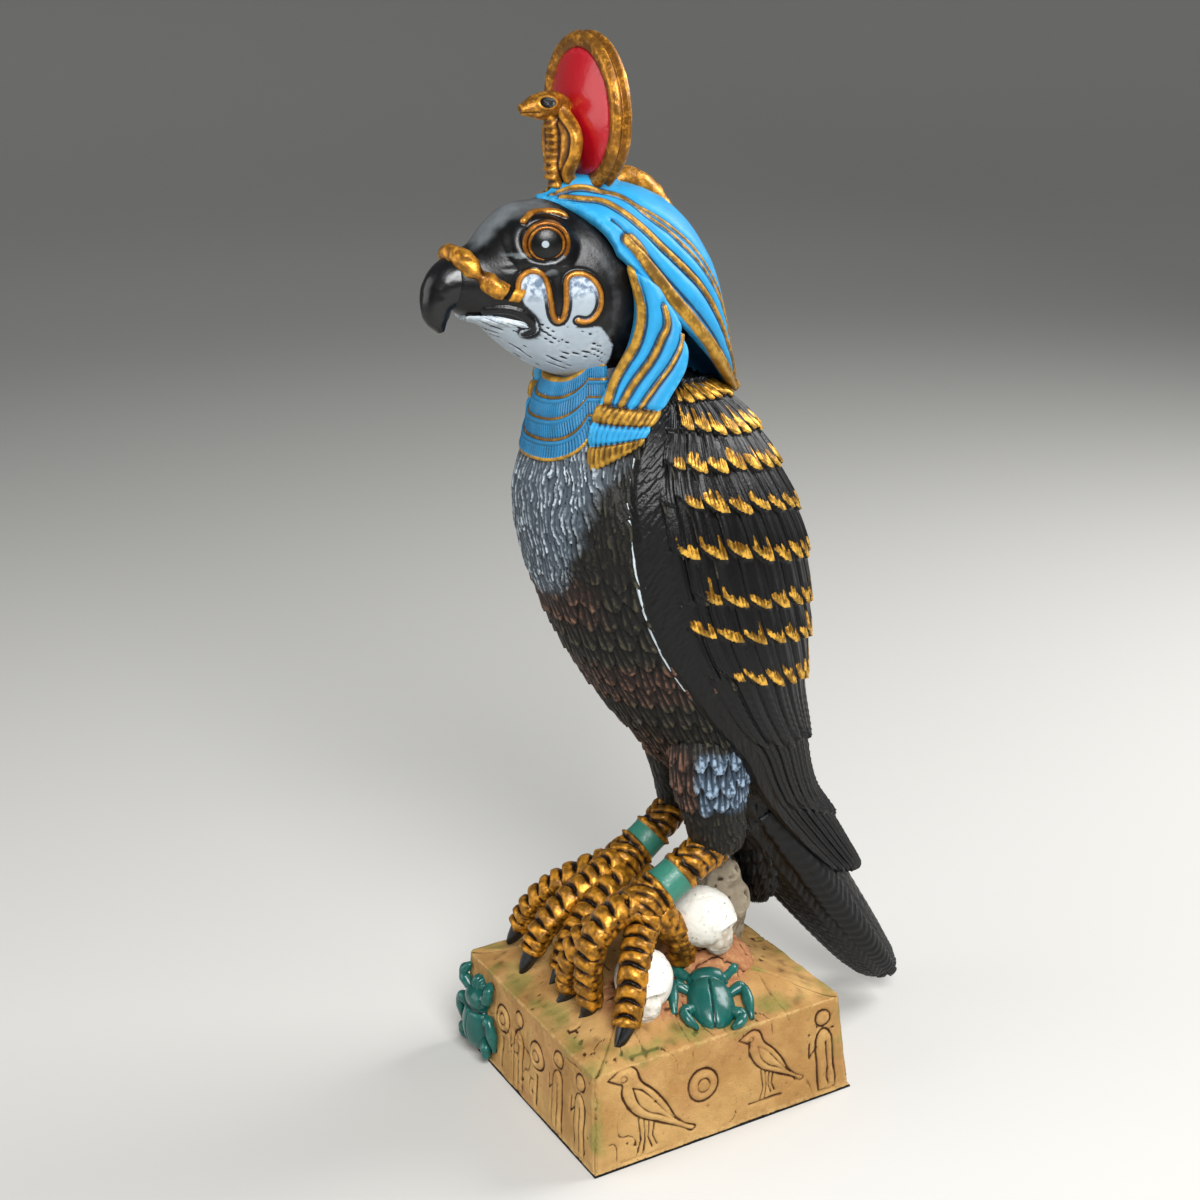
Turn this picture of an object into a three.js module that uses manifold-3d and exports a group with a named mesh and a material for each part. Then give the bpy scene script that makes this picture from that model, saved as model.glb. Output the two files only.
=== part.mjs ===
// A falcon statue with a royal headcloth, a sun disc with a rearing cobra, and a carved plinth.
// Units are millimetres, +Z is up. The origin is the middle of the plinth's underside.
// The bird faces -Y, and its left side is +X.
// Three castings: the plinth, the falcon that stands on it, and the crown glued on its head.
import * as THREE from "three";
import { mergeVertices } from "three/addons/utils/BufferGeometryUtils.js";
import Module from "manifold-3d";

const wasm = await Module();
wasm.setup();

// Driving dimensions

const JOINT_GAP = 0.3; // between two castings that touch
const PLINTH = { side: 80, inset: 2.1, crease: 27.9, top: 33, plateau: 20, corner: 40 };
const DISC = { y: -11.4, z: 261.2, radius: 18.4, rim: 5, dome: 14.6, bulge: 2.6, groove: 0.7 };

// The bird's trunk and folded wings share one hull: level ellipses, given as
// [height, middle in Y, half width in X, half depth in Y].
const HULL = [
  [38, 64.8, 6.4, 4],
  [46, 59, 9.4, 8],
  [55, 51.6, 12.4, 10.8],
  [65, 43, 15.4, 14],
  [76, 34, 18.4, 16.2],
  [85, 28.4, 21.4, 18.6],
  [98, 22.8, 25, 22.2],
  [112, 17, 28, 27],
  [128, 12.8, 30, 32.6],
  [143, 9.4, 30.6, 35.8],
  [154, 7, 30.4, 36.8],
  [164, 4.4, 29.6, 36],
  [173, 2.4, 27.6, 33.8],
  [184, 0.8, 23.6, 28.6],
  [192, -2, 18, 24],
  [199, -5, 14, 17.5],
  [208, -6, 11, 13],
];
const TRUNK = { bottom: 80, top: 207, tuck: 1.2 };

// The wing: where each row of feathers ends, at the wing's front edge and at the spine.
const WING_ROWS = [
  [197, 193],
  [192, 188.3],
  [187, 178.2],
  [180, 167.4],
  [172, 154.8],
  [160.5, 142],
  [148.5, 128.4],
  [139, 118],
  [127, 107.7],
  [108, 91],
  [84, 64],
  [49, 41],
];
// The wing's front edge on the hull: [height, degrees from the bird's side, minus is forward].
const WING_EDGE = [
  [41, 40],
  [46, 0],
  [54, -14],
  [77, -16],
  [89, -19],
  [98, -21],
  [109, -28],
  [118, -32.5],
  [130, -37.5],
  [144, -39],
  [164, -36],
  [182, -30],
  [192, -12],
  [197, 0],
];
const WING = { thickness: 4, proud: 0.9, step: 1.1, feathers: 6, scallop: 0.16, spineGap: 0.8, tipGap: 2.5 };

// The head from the beak's root backwards: [Y, top, underside, half width].
const HEAD = [
  [-50, 228.5, 219.5, 4.4],
  [-48, 231.4, 217.6, 6],
  [-43, 233.6, 215, 7.8],
  [-38, 238.6, 210, 10],
  [-33, 241.6, 205.8, 12],
  [-26, 242.2, 201.4, 14.8],
  [-16, 243.4, 197.6, 17.6],
  [-4, 243, 196, 18.6],
  [6, 238, 198, 16.5],
  [12, 230, 204, 11],
];
// The upper beak along its curve: [Y, Z, half height, half width].
const BEAK = [
  [-43, 225, 6.6, 7],
  [-48, 224.4, 6.5, 5.8],
  [-51, 222.6, 5.4, 4.7],
  [-52.6, 219.6, 4, 3.7],
  [-52.6, 216.6, 3, 2.6],
  [-51.8, 213.6, 0.9, 0.8],
];
const JAW = [
  [-33, 214.6, 2.6, 10.5],
  [-41, 216.2, 2.2, 7.4],
  [-46.5, 217.2, 1.3, 3.6],
];
const EYE = { x: 12.2, y: -29.8, z: 233.4, ring: 4.7, wire: 0.8, turn: 20, ball: 4.2, bulge: 2 };

// The headcloth's ribs run from the crown's midline to the hem on each side:
// [place from brow to nape, crown Y, crown Z, hem half width, hem Y, hem Z].
const HOOD = [
  [0, -25.6, 242.4, 19.8, -14.6, 231],
  [0.14, -15, 244.8, 22, -9.8, 225],
  [0.3, -3, 244.2, 23.2, -3.6, 217],
  [0.46, 8.2, 238.8, 22.8, 3.2, 210],
  [0.62, 16.4, 228.6, 20, 10.6, 203],
  [0.78, 21.2, 214.5, 15, 17.6, 196.8],
  [0.9, 25, 201.5, 9.4, 23, 192.6],
  [1, 27.4, 190.6, 4.4, 26.8, 190.4],
];
const HOOD_THICKNESS = 3.4;
// The lappet on each shoulder: [place from temple to tip, front X Y Z, back X Y Z].
const LAPPET = [
  [0, 21, -13.4, 228, 22.6, -6, 222],
  [0.22, 22, -12, 218, 24.6, -0.5, 211],
  [0.42, 21, -13.6, 209, 25.2, 0, 203.5],
  [0.62, 18.4, -18.4, 199.8, 25, -4.4, 196.4],
  [0.8, 16.2, -21.6, 190, 25, -10.6, 188.6],
  [1, 15.4, -22.6, 178, 24.6, -12.8, 183],
];
const LAPPET_SIZE = { thickness: 5, bulge: 2.2 };
const COLLAR = { top: 199.4, bottom: 180.4, sideRise: 3.4, spread: 58, rows: 4, proud: 1.6, rib: 0.7 };
// The cobra's body over the crown, its spread neck and its head, as [X, Y, Z, half width, half depth].
const RIDGE = [
  [0, -9, 242.6, 2.4, 2],
  [0, -2.6, 244.8, 3.4, 3],
  [0, 3.2, 242.8, 3.6, 3],
  [0, 9.6, 235.4, 3, 2.6],
  [0, 14.6, 228.4, 2.6, 2],
  [0, 17.4, 221, 1.2, 0.8],
];
const COBRA_HOOD = [
  [0, -16.6, 244.6, 2.6, 2.4],
  [0, -18.8, 247.6, 4.2, 2.8],
  [0, -18.4, 252.4, 7.6, 2.4],
  [0, -18.2, 257, 7.8, 2.4],
  [0, -19, 261, 4, 2.8],
  [0, -20, 263.4, 2.2, 1.6],
];
const COBRA_HEAD = [
  [0, -16.4, 262.4, 2, 2],
  [0, -20, 263.2, 3.3, 3.2],
  [0, -24.6, 263, 3.3, 2.9],
  [0, -28.9, 262.6, 1.3, 1.1],
];

const TAIL = [
  [33, 74, 12, 12.4],
  [46, 55, 12.6, 11.6],
  [56.6, 38.6, 12.4, 9.8],
  [67.6, 22.8, 11.8, 8],
  [75.8, 11.6, 10, 6],
  [79, 8, 7.6, 4.2],
];
const COVERTS = [
  [0, 24, 94, 13, 12],
  [0, 31, 78, 12, 11],
  [0, 36, 62, 9.6, 8.4],
  [0, 36, 50, 7, 6.4],
  [0, 34.6, 42.4, 4, 3.6],
];

// Each leg: the feathered shank, the bare tarsus and the four toes, as [X, Y, Z, half width].
const LEGS = {
  left: {
    shank: [
      [11, 13, 116, 8],
      [14.2, 11.2, 104, 11],
      [16, 10.6, 92, 10],
      [16.6, 11.4, 82, 8.2],
      [16.6, 12.6, 74, 7],
      [16.6, 12.4, 70.6, 5],
    ],
    tarsus: [
      [16.6, 15.4, 74, 4.6],
      [16.4, 9.6, 70.8, 5.6],
      [16, 3.4, 67.2, 5.4],
      [15.8, -4.2, 62.7, 5.5],
      [15.4, -9.6, 59.8, 6.4],
      [15, -13.6, 56.6, 5.4],
    ],
    toes: [
      [[15.6, -8.6, 59], [18.6, -12, 54], [22, -16, 49], [26, -19.8, 41.6], [28.6, -23.2, 33.8]],
      [[15, -11, 60.4], [15, -19.6, 57.4], [15, -25.2, 50.6], [14.8, -26.4, 42], [14.4, -26, 34]],
      [[12, -11, 57.4], [9, -19, 52.6], [6.2, -24.6, 46.6], [4.4, -26.4, 39.4], [4, -26.8, 33.6]],
      [[15.4, -7, 57], [15.2, -1.6, 49], [14, 1.6, 43.4], [12.6, 3, 37.4]],
    ],
    claws: [[30.6, -27.6, 29.4], [14, -29.4, 29.6], [3.4, -30.4, 29.8], [12, 2.2, 32.2]],
  },
  right: {
    shank: [
      [-11, 17, 116, 8],
      [-14.2, 18, 103, 11],
      [-16, 19.8, 90, 9.6],
      [-16.4, 21.2, 79, 7.8],
      [-16.4, 21.4, 71, 6.6],
      [-16.4, 21, 67.4, 4.6],
    ],
    tarsus: [
      [-16.6, 23.4, 70.4, 4.2],
      [-16.4, 18.4, 67.4, 5],
      [-16.2, 13, 63.4, 5.2],
      [-16, 7.2, 59.2, 5.4],
      [-15.6, 1.6, 56.2, 6],
      [-15.2, -1.8, 53.4, 5],
    ],
    toes: [
      [[-18, -1, 54.6], [-23, -9.6, 50.6], [-27, -16.4, 46.2], [-30, -21.2, 40.4], [-31.6, -24, 34.6]],
      [[-15, 0, 56.8], [-14, -8.6, 53.2], [-14.6, -16.8, 48.4], [-15.4, -23.8, 42], [-16, -28, 35.4]],
      [[-12, -1, 54], [-8.6, -9.6, 50.2], [-6.4, -16.8, 45.4], [-5.4, -21.6, 39.8], [-5, -24.2, 34.4]],
      [[-16, 3, 53], [-16.4, 8.6, 46.8], [-17, 11.2, 41.2], [-17.4, 12, 36]],
    ],
    claws: [[-33, -27.6, 29.6], [-16.2, -31.6, 29.2], [-5, -28.2, 30], [-17.8, 11.4, 31.6]],
  },
};
const TOE = { root: 4.7, tip: 3.8, scute: 7.4, bump: 0.1 };
const CLAW = { root: 2.7, tip: 0.7 };
const CUFF = { from: 0.46, to: 0.66, proud: 0.7 };

// What lies on the plinth: rubble, a rock under the tail, two skulls and two scarabs.
const MOUND = { centre: [13, 12, 30], radii: [15, 14, 12] };
const ROCK = { centre: [4, 20.4, 44], radii: [8.6, 8, 17] };
const SKULLS = [
  { centre: [15, 8.4, 50], radius: 8.4, heading: 120 },
  { centre: [21, -13.6, 40.6], radius: 8.2, heading: -30 },
];
const SCARAB = {
  x: 25,
  y: 4.2,
  heading: 156,
  front: -28.6,
  rise: 13,
  legs: [
    [[5, 4, 0.8], [9, 8, 2], [12.6, 6.4, 0.8]],
    [[0, 5, 0.8], [1, 9.4, 2], [-7.4, 10.4, 0.6]],
    [[-5, 4, 0.8], [-8.4, 7.8, 2], [-11.4, 4.6, 0.6]],
  ],
};

// Carving on the plinth's sides, in millimetres along a side (from its middle) and up it.
const CARVING = { depth: 0.8, strokeDepth: 0.7, lineDepth: 0.6, groove: 1.1 };
const BIRD = [
  [-7.8, 9],
  [-5.6, 13],
  [-1.8, 12.8],
  [0.4, 8.8],
  [5, 6.2],
  [15.2, -9.6],
  [12.4, -11.4],
  [4.6, -7.6],
  [-1.4, -7.6],
  [-5, 4.6],
];
const FIGURE = [
  [-2.4, -11],
  [-2.8, 5],
  [-0.6, 7],
  [2.2, 5],
  [2.8, -11],
];

const MATERIALS = {
  stone: { color: 0xb08d54, roughness: 0.85, metalness: 0 },
  plumage: { color: 0x14161a, roughness: 0.5, metalness: 0 },
  gilt: { color: 0xb07a1e, roughness: 0.45, metalness: 0.6 },
};

// Helpers

const { lerp, clamp, degToRad } = THREE.MathUtils;
const smooth = (low, high, x) => THREE.MathUtils.smoothstep(x, low, high);
const vector = (p) => new THREE.Vector3(p[0], p[1], p[2]);

// A smooth curve through rows of [place, value, value, ...]: returns place -> values.
function track(rows) {
  const slope = (i, k) => {
    const a = rows[Math.max(i - 1, 0)];
    const b = rows[Math.min(i + 1, rows.length - 1)];
    return (b[k] - a[k]) / (b[0] - a[0]);
  };
  return (place) => {
    const t = clamp(place, rows[0][0], rows[rows.length - 1][0]);
    let i = 0;
    while (i < rows.length - 2 && t > rows[i + 1][0]) i++;
    const span = rows[i + 1][0] - rows[i][0];
    const s = (t - rows[i][0]) / span;
    const s2 = s * s;
    const s3 = s2 * s;
    return rows[i].slice(1).map((value, j) => {
      const k = j + 1;
      return (
        (2 * s3 - 3 * s2 + 1) * value +
        (s3 - 2 * s2 + s) * span * slope(i, k) +
        (3 * s2 - 2 * s3) * rows[i + 1][k] +
        (s3 - s2) * span * slope(i + 1, k)
      );
    });
  };
}

// Rows of values with no place of their own get places spaced evenly from 0 to 1.
const evenly = (rows) => rows.map((row, i) => [i / (rows.length - 1), ...row]);

// A closed geometry as a solid, turned right side out.
function solidOf(geometry) {
  geometry.deleteAttribute("normal");
  geometry.deleteAttribute("uv");
  const merged = mergeVertices(geometry, 1e-4);
  const order = Uint32Array.from(merged.index.array);
  const build = () =>
    new wasm.Manifold(
      new wasm.Mesh({
        numProp: 3,
        vertProperties: Float32Array.from(merged.attributes.position.array),
        triVerts: order,
      }),
    );
  const made = build();
  if (made.volume() > 0) return made;
  for (let i = 0; i < order.length; i += 3) {
    [order[i + 1], order[i + 2]] = [order[i + 2], order[i + 1]];
  }
  return build();
}

const union = (solids) => solids.reduce((all, next) => all.add(next));

// Moves every vertex of a geometry to place(vertex) and returns the solid.
function mapped(geometry, place) {
  const position = geometry.getAttribute("position");
  const vertex = new THREE.Vector3();
  for (let i = 0; i < position.count; i++) {
    vertex.fromBufferAttribute(position, i);
    position.setXYZ(i, ...place(vertex));
  }
  return solidOf(geometry);
}

// A closed tube: place(along 0..1, angle around, share of the radius) gives each point.
function tube(sides, rows, place) {
  return mapped(new THREE.CylinderGeometry(1, 1, 1, sides, rows), (p) =>
    place(p.y + 0.5, Math.atan2(p.z, p.x), Math.hypot(p.x, p.z)),
  );
}

// A thick sheet: place(across 0..1, along 0..1, 0 for the inner and 1 for the outer face).
function sheet(columns, rows, place) {
  return mapped(new THREE.BoxGeometry(1, 1, 1, columns, rows, 1), (p) =>
    place(p.x + 0.5, p.y + 0.5, p.z + 0.5),
  );
}

// A tube along a smooth curve, with half width and half height from radii(along).
// The half width is measured along the side axis, which all its sections share.
function limb(points, sides, rows, radii, side = new THREE.Vector3(1, 0, 0)) {
  const curve = new THREE.CatmullRomCurve3(points.map(vector));
  return tube(sides, rows, (along, angle, share) => {
    const lift = new THREE.Vector3().crossVectors(side, curve.getTangent(along)).normalize();
    const [width, height] = radii(along);
    return curve
      .getPoint(along)
      .addScaledVector(side, share * width * Math.cos(angle))
      .addScaledVector(lift, share * height * Math.sin(angle))
      .toArray();
  });
}

// A ball with three radii, turned about Z by an angle in degrees.
function ball(centre, radii, sides, rows, turn = 0) {
  const c = Math.cos(degToRad(turn));
  const s = Math.sin(degToRad(turn));
  return mapped(new THREE.SphereGeometry(1, sides, rows), (p) => {
    const [x, y, z] = [p.x * radii[0], p.z * radii[1], p.y * radii[2]];
    return [centre[0] + c * x - s * y, centre[1] + s * x + c * y, centre[2] + z];
  });
}

// Trunk

const hullAt = track(HULL);

// A point on the hull: height, angle from the bird's left side, and how far it stands out.
function onHull(z, angle, proud) {
  const [middle, halfWidth, halfDepth] = hullAt(z);
  return [
    (halfWidth + proud) * Math.cos(angle),
    middle + (halfDepth + proud) * Math.sin(angle),
    z,
  ];
}

function trunk() {
  return tube(16, 9, (along, angle, share) => {
    const z = lerp(TRUNK.bottom, TRUNK.top, along);
    const [middle, halfWidth, halfDepth] = hullAt(z);
    const round = Math.sqrt(smooth(-0.1, 0.12, along)) * share;
    const back = smooth(-0.2, 0.5, Math.sin(angle)) * TRUNK.tuck;
    return [
      round * (halfWidth - back) * Math.cos(angle),
      middle + round * (halfDepth - back) * Math.sin(angle),
      z,
    ];
  });
}

// Wings: overlapping rows of feathers, each row rising to its tips and then dropping

const edgeAt = track(WING_EDGE);
const rowHeights = track(evenly(WING_ROWS));

function wing(side) {
  const steps = WING_ROWS.length - 1;
  const columns = 2 * WING.feathers;
  const rings = 2 * steps - 1;
  return sheet(columns, rings, (across, down, face) => {
    // Odd rings are the raised tips of a row, and even rings the sunk start of the next one.
    const ring = Math.round(down * rings);
    const row = Math.floor((ring + 1) / 2);
    const tip = ring % 2 === 1;
    const notch = (Math.round(across * columns) + row) % 2 ? WING.scallop : 0;
    const end = ring === 0 || ring === rings;
    const along = (row - (end ? 0 : notch) + (end || tip ? 0 : 0.05)) / steps;
    const [front, back] = rowHeights(clamp(along, 0, 1));
    const z = lerp(front, back, across);
    const gap = lerp(WING.spineGap, WING.tipGap, smooth(0.5, 0.8, along));
    const angle = degToRad(lerp(edgeAt(z)[0], 90 - gap, across));
    const lift = WING.proud + (tip && !end ? WING.step * Math.min(1, 6 * across) : 0);
    const [x, y] = onHull(z, angle, face ? lift : -WING.thickness);
    return [side * x, y, z];
  });
}

// Tail, and the feathers under it that run down to the rock

function tail() {
  const at = track(evenly(TAIL));
  const run = new THREE.Vector2(TAIL[4][0] - TAIL[0][0], TAIL[4][1] - TAIL[0][1]).normalize();
  const blade = tube(10, 5, (along, angle, share) => {
    const [y, z, halfWidth, halfDepth] = at(along);
    const across = Math.cos(angle) * share;
    const up = Math.sin(angle) * share;
    const roof = halfDepth * up * (1 - (up > 0 ? 0.35 : 0.15) * Math.abs(across));
    return [halfWidth * across, y - run.y * roof, z + run.x * roof];
  });
  const sizes = track(evenly(COVERTS));
  const coverts = limb(COVERTS, 7, 3, (along) => sizes(along).slice(3));
  return blade.add(coverts);
}

// Head

function skullcap() {
  const at = track(HEAD);
  const first = HEAD[0][0];
  const last = HEAD[HEAD.length - 1][0];
  return tube(12, 8, (along, angle, share) => {
    const y = lerp(first, last, along);
    const [top, under, halfWidth] = at(y);
    const middle = (top + under) / 2;
    return [
      share * halfWidth * Math.cos(angle),
      y,
      middle + (share * (top - under) * Math.sin(angle)) / 2,
    ];
  });
}

// A tube in the middle plane from rows of [Y, Z, half height, half width].
function profiled(rows, sides, rings) {
  const sizes = track(evenly(rows));
  return limb(
    rows.map(([y, z]) => [0, y, z]),
    sides,
    rings,
    (along) => {
      const [, , halfHeight, halfWidth] = sizes(along);
      return [halfWidth, halfHeight];
    },
  );
}

function eye(side) {
  const turn = degToRad(EYE.turn);
  const place = (out, back, up) => [
    side * (EYE.x + out * Math.cos(turn) + back * Math.sin(turn)),
    EYE.y - out * Math.sin(turn) + back * Math.cos(turn),
    EYE.z + up,
  ];
  const ring = mapped(new THREE.TorusGeometry(EYE.ring, EYE.wire, 3, 10), (p) =>
    place(p.z, p.x, p.y),
  );
  const eyeball = mapped(new THREE.SphereGeometry(1, 7, 4), (p) =>
    place(p.z * EYE.bulge - 1, p.x * EYE.ball, p.y * EYE.ball),
  );
  return ring.add(eyeball);
}

// Headcloth

const hoodAt = track(HOOD);

function hood(proud) {
  return sheet(10, 7, (across, along, face) => {
    const [crownY, crownZ, width, hemY, hemZ] = hoodAt(along);
    const turn = (across - 0.5) * Math.PI;
    const drop = 1 - Math.cos(turn);
    const point = new THREE.Vector3(
      width * Math.sin(turn),
      lerp(crownY, hemY, drop),
      lerp(crownZ, hemZ, drop),
    );
    const inward = new THREE.Vector3(0, lerp(-10, 10, along), lerp(218, 200, along))
      .sub(point)
      .normalize();
    return point.addScaledVector(inward, face ? -proud : HOOD_THICKNESS).toArray();
  });
}

// The cobra's gold body lies over the crown as a ridge.
function crownRidge(grow = 0) {
  const sizes = track(evenly(RIDGE));
  return limb(RIDGE, 5, 6, (along) => sizes(along).slice(3).map((size) => size + grow));
}

function lappet(side) {
  const at = track(LAPPET);
  return sheet(2, 6, (across, along, face) => {
    const [fx, fy, fz, bx, by, bz] = at(along);
    const point = vector([fx, fy, fz]).lerp(vector([bx, by, bz]), across);
    const out = new THREE.Vector3(point.x, point.y + 2, 0).normalize();
    const push = face ? LAPPET_SIZE.bulge * Math.sin(Math.PI * across) : -LAPPET_SIZE.thickness;
    point.addScaledVector(out, push);
    return [side * point.x, point.y, point.z];
  });
}

function collar() {
  return sheet(6, 2 * COLLAR.rows, (across, down, face) => {
    const angle = degToRad(-90 + (across - 0.5) * 2 * COLLAR.spread);
    const away = Math.abs(across - 0.5) * 2;
    const z = lerp(COLLAR.top, COLLAR.bottom, down) + COLLAR.sideRise * away * away;
    const ring = Math.round(down * 2 * COLLAR.rows);
    const proud = COLLAR.proud - (ring % 2 ? COLLAR.rib : 0);
    return onHull(z, angle, face ? proud : -4);
  });
}

// Legs

// The level direction across a toe that runs from its first point to its last.
function acrossToe(points) {
  const run = vector(points[points.length - 1]).sub(vector(points[0]));
  return new THREE.Vector3(-run.y, run.x, 0).normalize();
}

function toe(points, grow) {
  const length = new THREE.CatmullRomCurve3(points.map(vector)).getLength();
  const rows = 2 * Math.round(length / TOE.scute);
  const radii = (along) => {
    const bump = Math.round(along * rows) % 2 ? 1 + TOE.bump : 1 - TOE.bump;
    const size = lerp(TOE.root, TOE.tip, along) * (along > 0.99 ? 0.6 : bump) + grow;
    return [size, size];
  };
  return limb(points, 5, rows, radii, acrossToe(points));
}

function claw(toePoints, tip, grow) {
  const end = vector(toePoints[toePoints.length - 1]);
  const before = vector(toePoints[toePoints.length - 2]);
  const middle = end.clone().lerp(vector(tip), 0.5).addScaledVector(end.clone().sub(before), 0.14);
  const radii = (along) => {
    const size = lerp(CLAW.root, CLAW.tip, along) + grow;
    return [size, size];
  };
  return limb([end.toArray(), middle.toArray(), tip], 4, 2, radii, acrossToe(toePoints));
}

function foot(leg, grow = 0) {
  const sizes = track(evenly(leg.tarsus));
  const tarsus = limb(leg.tarsus, 7, 9, (along) => {
    const cuff = along > CUFF.from && along < CUFF.to ? CUFF.proud : 0;
    const size = sizes(along)[3] + cuff + grow;
    return [size, size];
  });
  const digits = leg.toes.flatMap((points, i) => [
    toe(points, grow),
    claw(points, leg.claws[i], grow),
  ]);
  return union([tarsus, ...digits]);
}

function shank(leg) {
  const sizes = track(evenly(leg.shank));
  return limb(leg.shank, 10, 5, (along) => {
    const size = sizes(along)[3];
    return [size * 0.94, size];
  });
}

// The falcon, one casting

function falcon() {
  return union([
    trunk(),
    wing(1),
    wing(-1),
    tail(),
    skullcap(),
    profiled(BEAK, 8, 7),
    profiled(JAW, 6, 2),
    eye(1),
    eye(-1),
    hood(0),
    crownRidge(),
    lappet(1),
    lappet(-1),
    collar(),
    shank(LEGS.left),
    shank(LEGS.right),
    foot(LEGS.left),
    foot(LEGS.right),
  ]);
}

// Crown: a domed disc in a rim, with a cobra rearing in front of it

function crown() {
  const half = DISC.rim / 2;
  const profile = [
    [0, -half - DISC.bulge],
    [DISC.dome * 0.55, -half - DISC.bulge * 0.78],
    [DISC.dome, -half + 0.4],
    [DISC.radius - 1.2, -half],
    [DISC.radius, -half + 1],
    [DISC.radius - DISC.groove, 0],
    [DISC.radius, half - 1],
    [DISC.radius - 1.2, half],
    [0, half + 0.6],
  ].map(([r, y]) => new THREE.Vector2(r, y));
  const disc = mapped(new THREE.LatheGeometry(profile, 24), (p) => [
    p.x,
    DISC.y + p.y,
    DISC.z + p.z,
  ]);
  const sized = (rows, sides, rings) => {
    const sizes = track(evenly(rows));
    return limb(rows, sides, rings, (along) => sizes(along).slice(3));
  };
  return union([disc, sized(COBRA_HOOD, 8, 6), sized(COBRA_HEAD, 6, 4)])
    .subtract(hood(JOINT_GAP))
    .subtract(crownRidge(JOINT_GAP));
}

// Plinth: a tapered block under a low roof

function roofHeight(x, y) {
  const edge = PLINTH.side / 2 - PLINTH.inset;
  const out = Math.max(Math.abs(x), Math.abs(y));
  return lerp(PLINTH.top, PLINTH.crease, smooth(PLINTH.plateau, edge, out));
}

function block() {
  const half = PLINTH.side / 2;
  const edge = half - PLINTH.inset;
  // A ring of 0 inside the block's edge is lifted to the roof below.
  const profile = [
    [0, 0],
    [half, 0],
    [edge, PLINTH.crease],
    [lerp(edge, PLINTH.plateau, 0.4), 1],
    [PLINTH.plateau, 1],
    [0, PLINTH.top],
  ].map(([r, z]) => new THREE.Vector2(r, z));
  return mapped(new THREE.LatheGeometry(profile, 24), (p) => {
    const r = Math.hypot(p.x, p.z);
    if (r < 1e-6) return [0, 0, p.y];
    const c = Math.abs(p.x / r) ** PLINTH.corner;
    const s = Math.abs(p.z / r) ** PLINTH.corner;
    const square = (c + s) ** (-1 / PLINTH.corner);
    const x = p.x * square;
    const y = p.z * square;
    return [x, y, p.y === 1 ? roofHeight(x, y) : p.y];
  });
}

// A point on a side of the plinth: the side's turn in quarter turns, along, up and out of it.
function onSide(quarter, along, up, out) {
  const slope = Math.atan2(PLINTH.inset, PLINTH.crease);
  const point = new THREE.Vector3(
    PLINTH.side / 2 - up * Math.sin(slope) + out * Math.cos(slope),
    along,
    up * Math.cos(slope) + out * Math.sin(slope),
  );
  return point.applyAxisAngle(new THREE.Vector3(0, 0, 1), (quarter * Math.PI) / 2).toArray();
}

// A flat shape pressed into a side.
function pressed(shape, quarter, deep = CARVING.depth) {
  return mapped(
    new THREE.ExtrudeGeometry(shape, { depth: deep + 1, bevelEnabled: false, curveSegments: 1 }),
    (p) => onSide(quarter, p.x, p.y, p.z - deep),
  );
}

// A groove that follows a closed outline, on its inner side.
function groove(outline, quarter) {
  const points = outline.map(([x, y]) => new THREE.Vector2(x, y));
  const count = points.length;
  const turned = THREE.ShapeUtils.area(points) > 0 ? 1 : -1;
  const inner = points.map((point, i) => {
    const before = point.clone().sub(points[(i + count - 1) % count]).normalize();
    const after = points[(i + 1) % count].clone().sub(point).normalize();
    const inward = new THREE.Vector2(-before.y - after.y, before.x + after.x).normalize();
    const spread = Math.max(0.55, Math.sqrt((1 + before.dot(after)) / 2));
    return point.clone().addScaledVector(inward, (turned * CARVING.groove) / spread);
  });
  const shape = new THREE.Shape(points);
  shape.holes.push(new THREE.Path(inner.reverse()));
  return pressed(shape, quarter);
}

function circle(x, y, radius, count) {
  return Array.from({ length: count }, (_, i) => {
    const angle = (i / count) * 2 * Math.PI;
    return [x + radius * Math.cos(angle), y + radius * Math.sin(angle)];
  });
}

const moved = (outline, x, y, size) => outline.map(([u, v]) => [x + size * u, y + size * v]);

// A straight stroke between two places on a side.
function stroke(x1, y1, x2, y2, quarter, deep = CARVING.strokeDepth) {
  const run = new THREE.Vector2(x2 - x1, y2 - y1).normalize().multiplyScalar(CARVING.groove / 2);
  const corners = [
    [x1 - run.y, y1 + run.x],
    [x1 + run.y, y1 - run.x],
    [x2 + run.y, y2 - run.x],
    [x2 - run.y, y2 + run.x],
  ];
  return pressed(new THREE.Shape(corners.map(([x, y]) => new THREE.Vector2(x, y))), quarter, deep);
}

function ringSign(x, y, radius, quarter) {
  const dot = circle(x, y, CARVING.groove, 5).map(([u, v]) => new THREE.Vector2(u, v));
  return [groove(circle(x, y, radius, 8), quarter), pressed(new THREE.Shape(dot), quarter)];
}

function birdSign(x, y, size, quarter) {
  const foot = y - 15.2 * size;
  return [
    groove(moved(BIRD, x, y, size), quarter),
    stroke(x - 1.6 * size, y - 7.4 * size, x - 0.6 * size, foot, quarter),
    stroke(x + 3 * size, y - 7.2 * size, x + 1.8 * size, foot, quarter),
    stroke(x - 6 * size, foot, x + 6.4 * size, foot, quarter, CARVING.lineDepth),
  ];
}

function figureSign(x, y, quarter) {
  const outline = moved(FIGURE, x, y, 1).map(([u, v]) => new THREE.Vector2(u, v));
  return [pressed(new THREE.Shape(outline), quarter), groove(circle(x, y + 10.4, 2.6, 5), quarter)];
}

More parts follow.
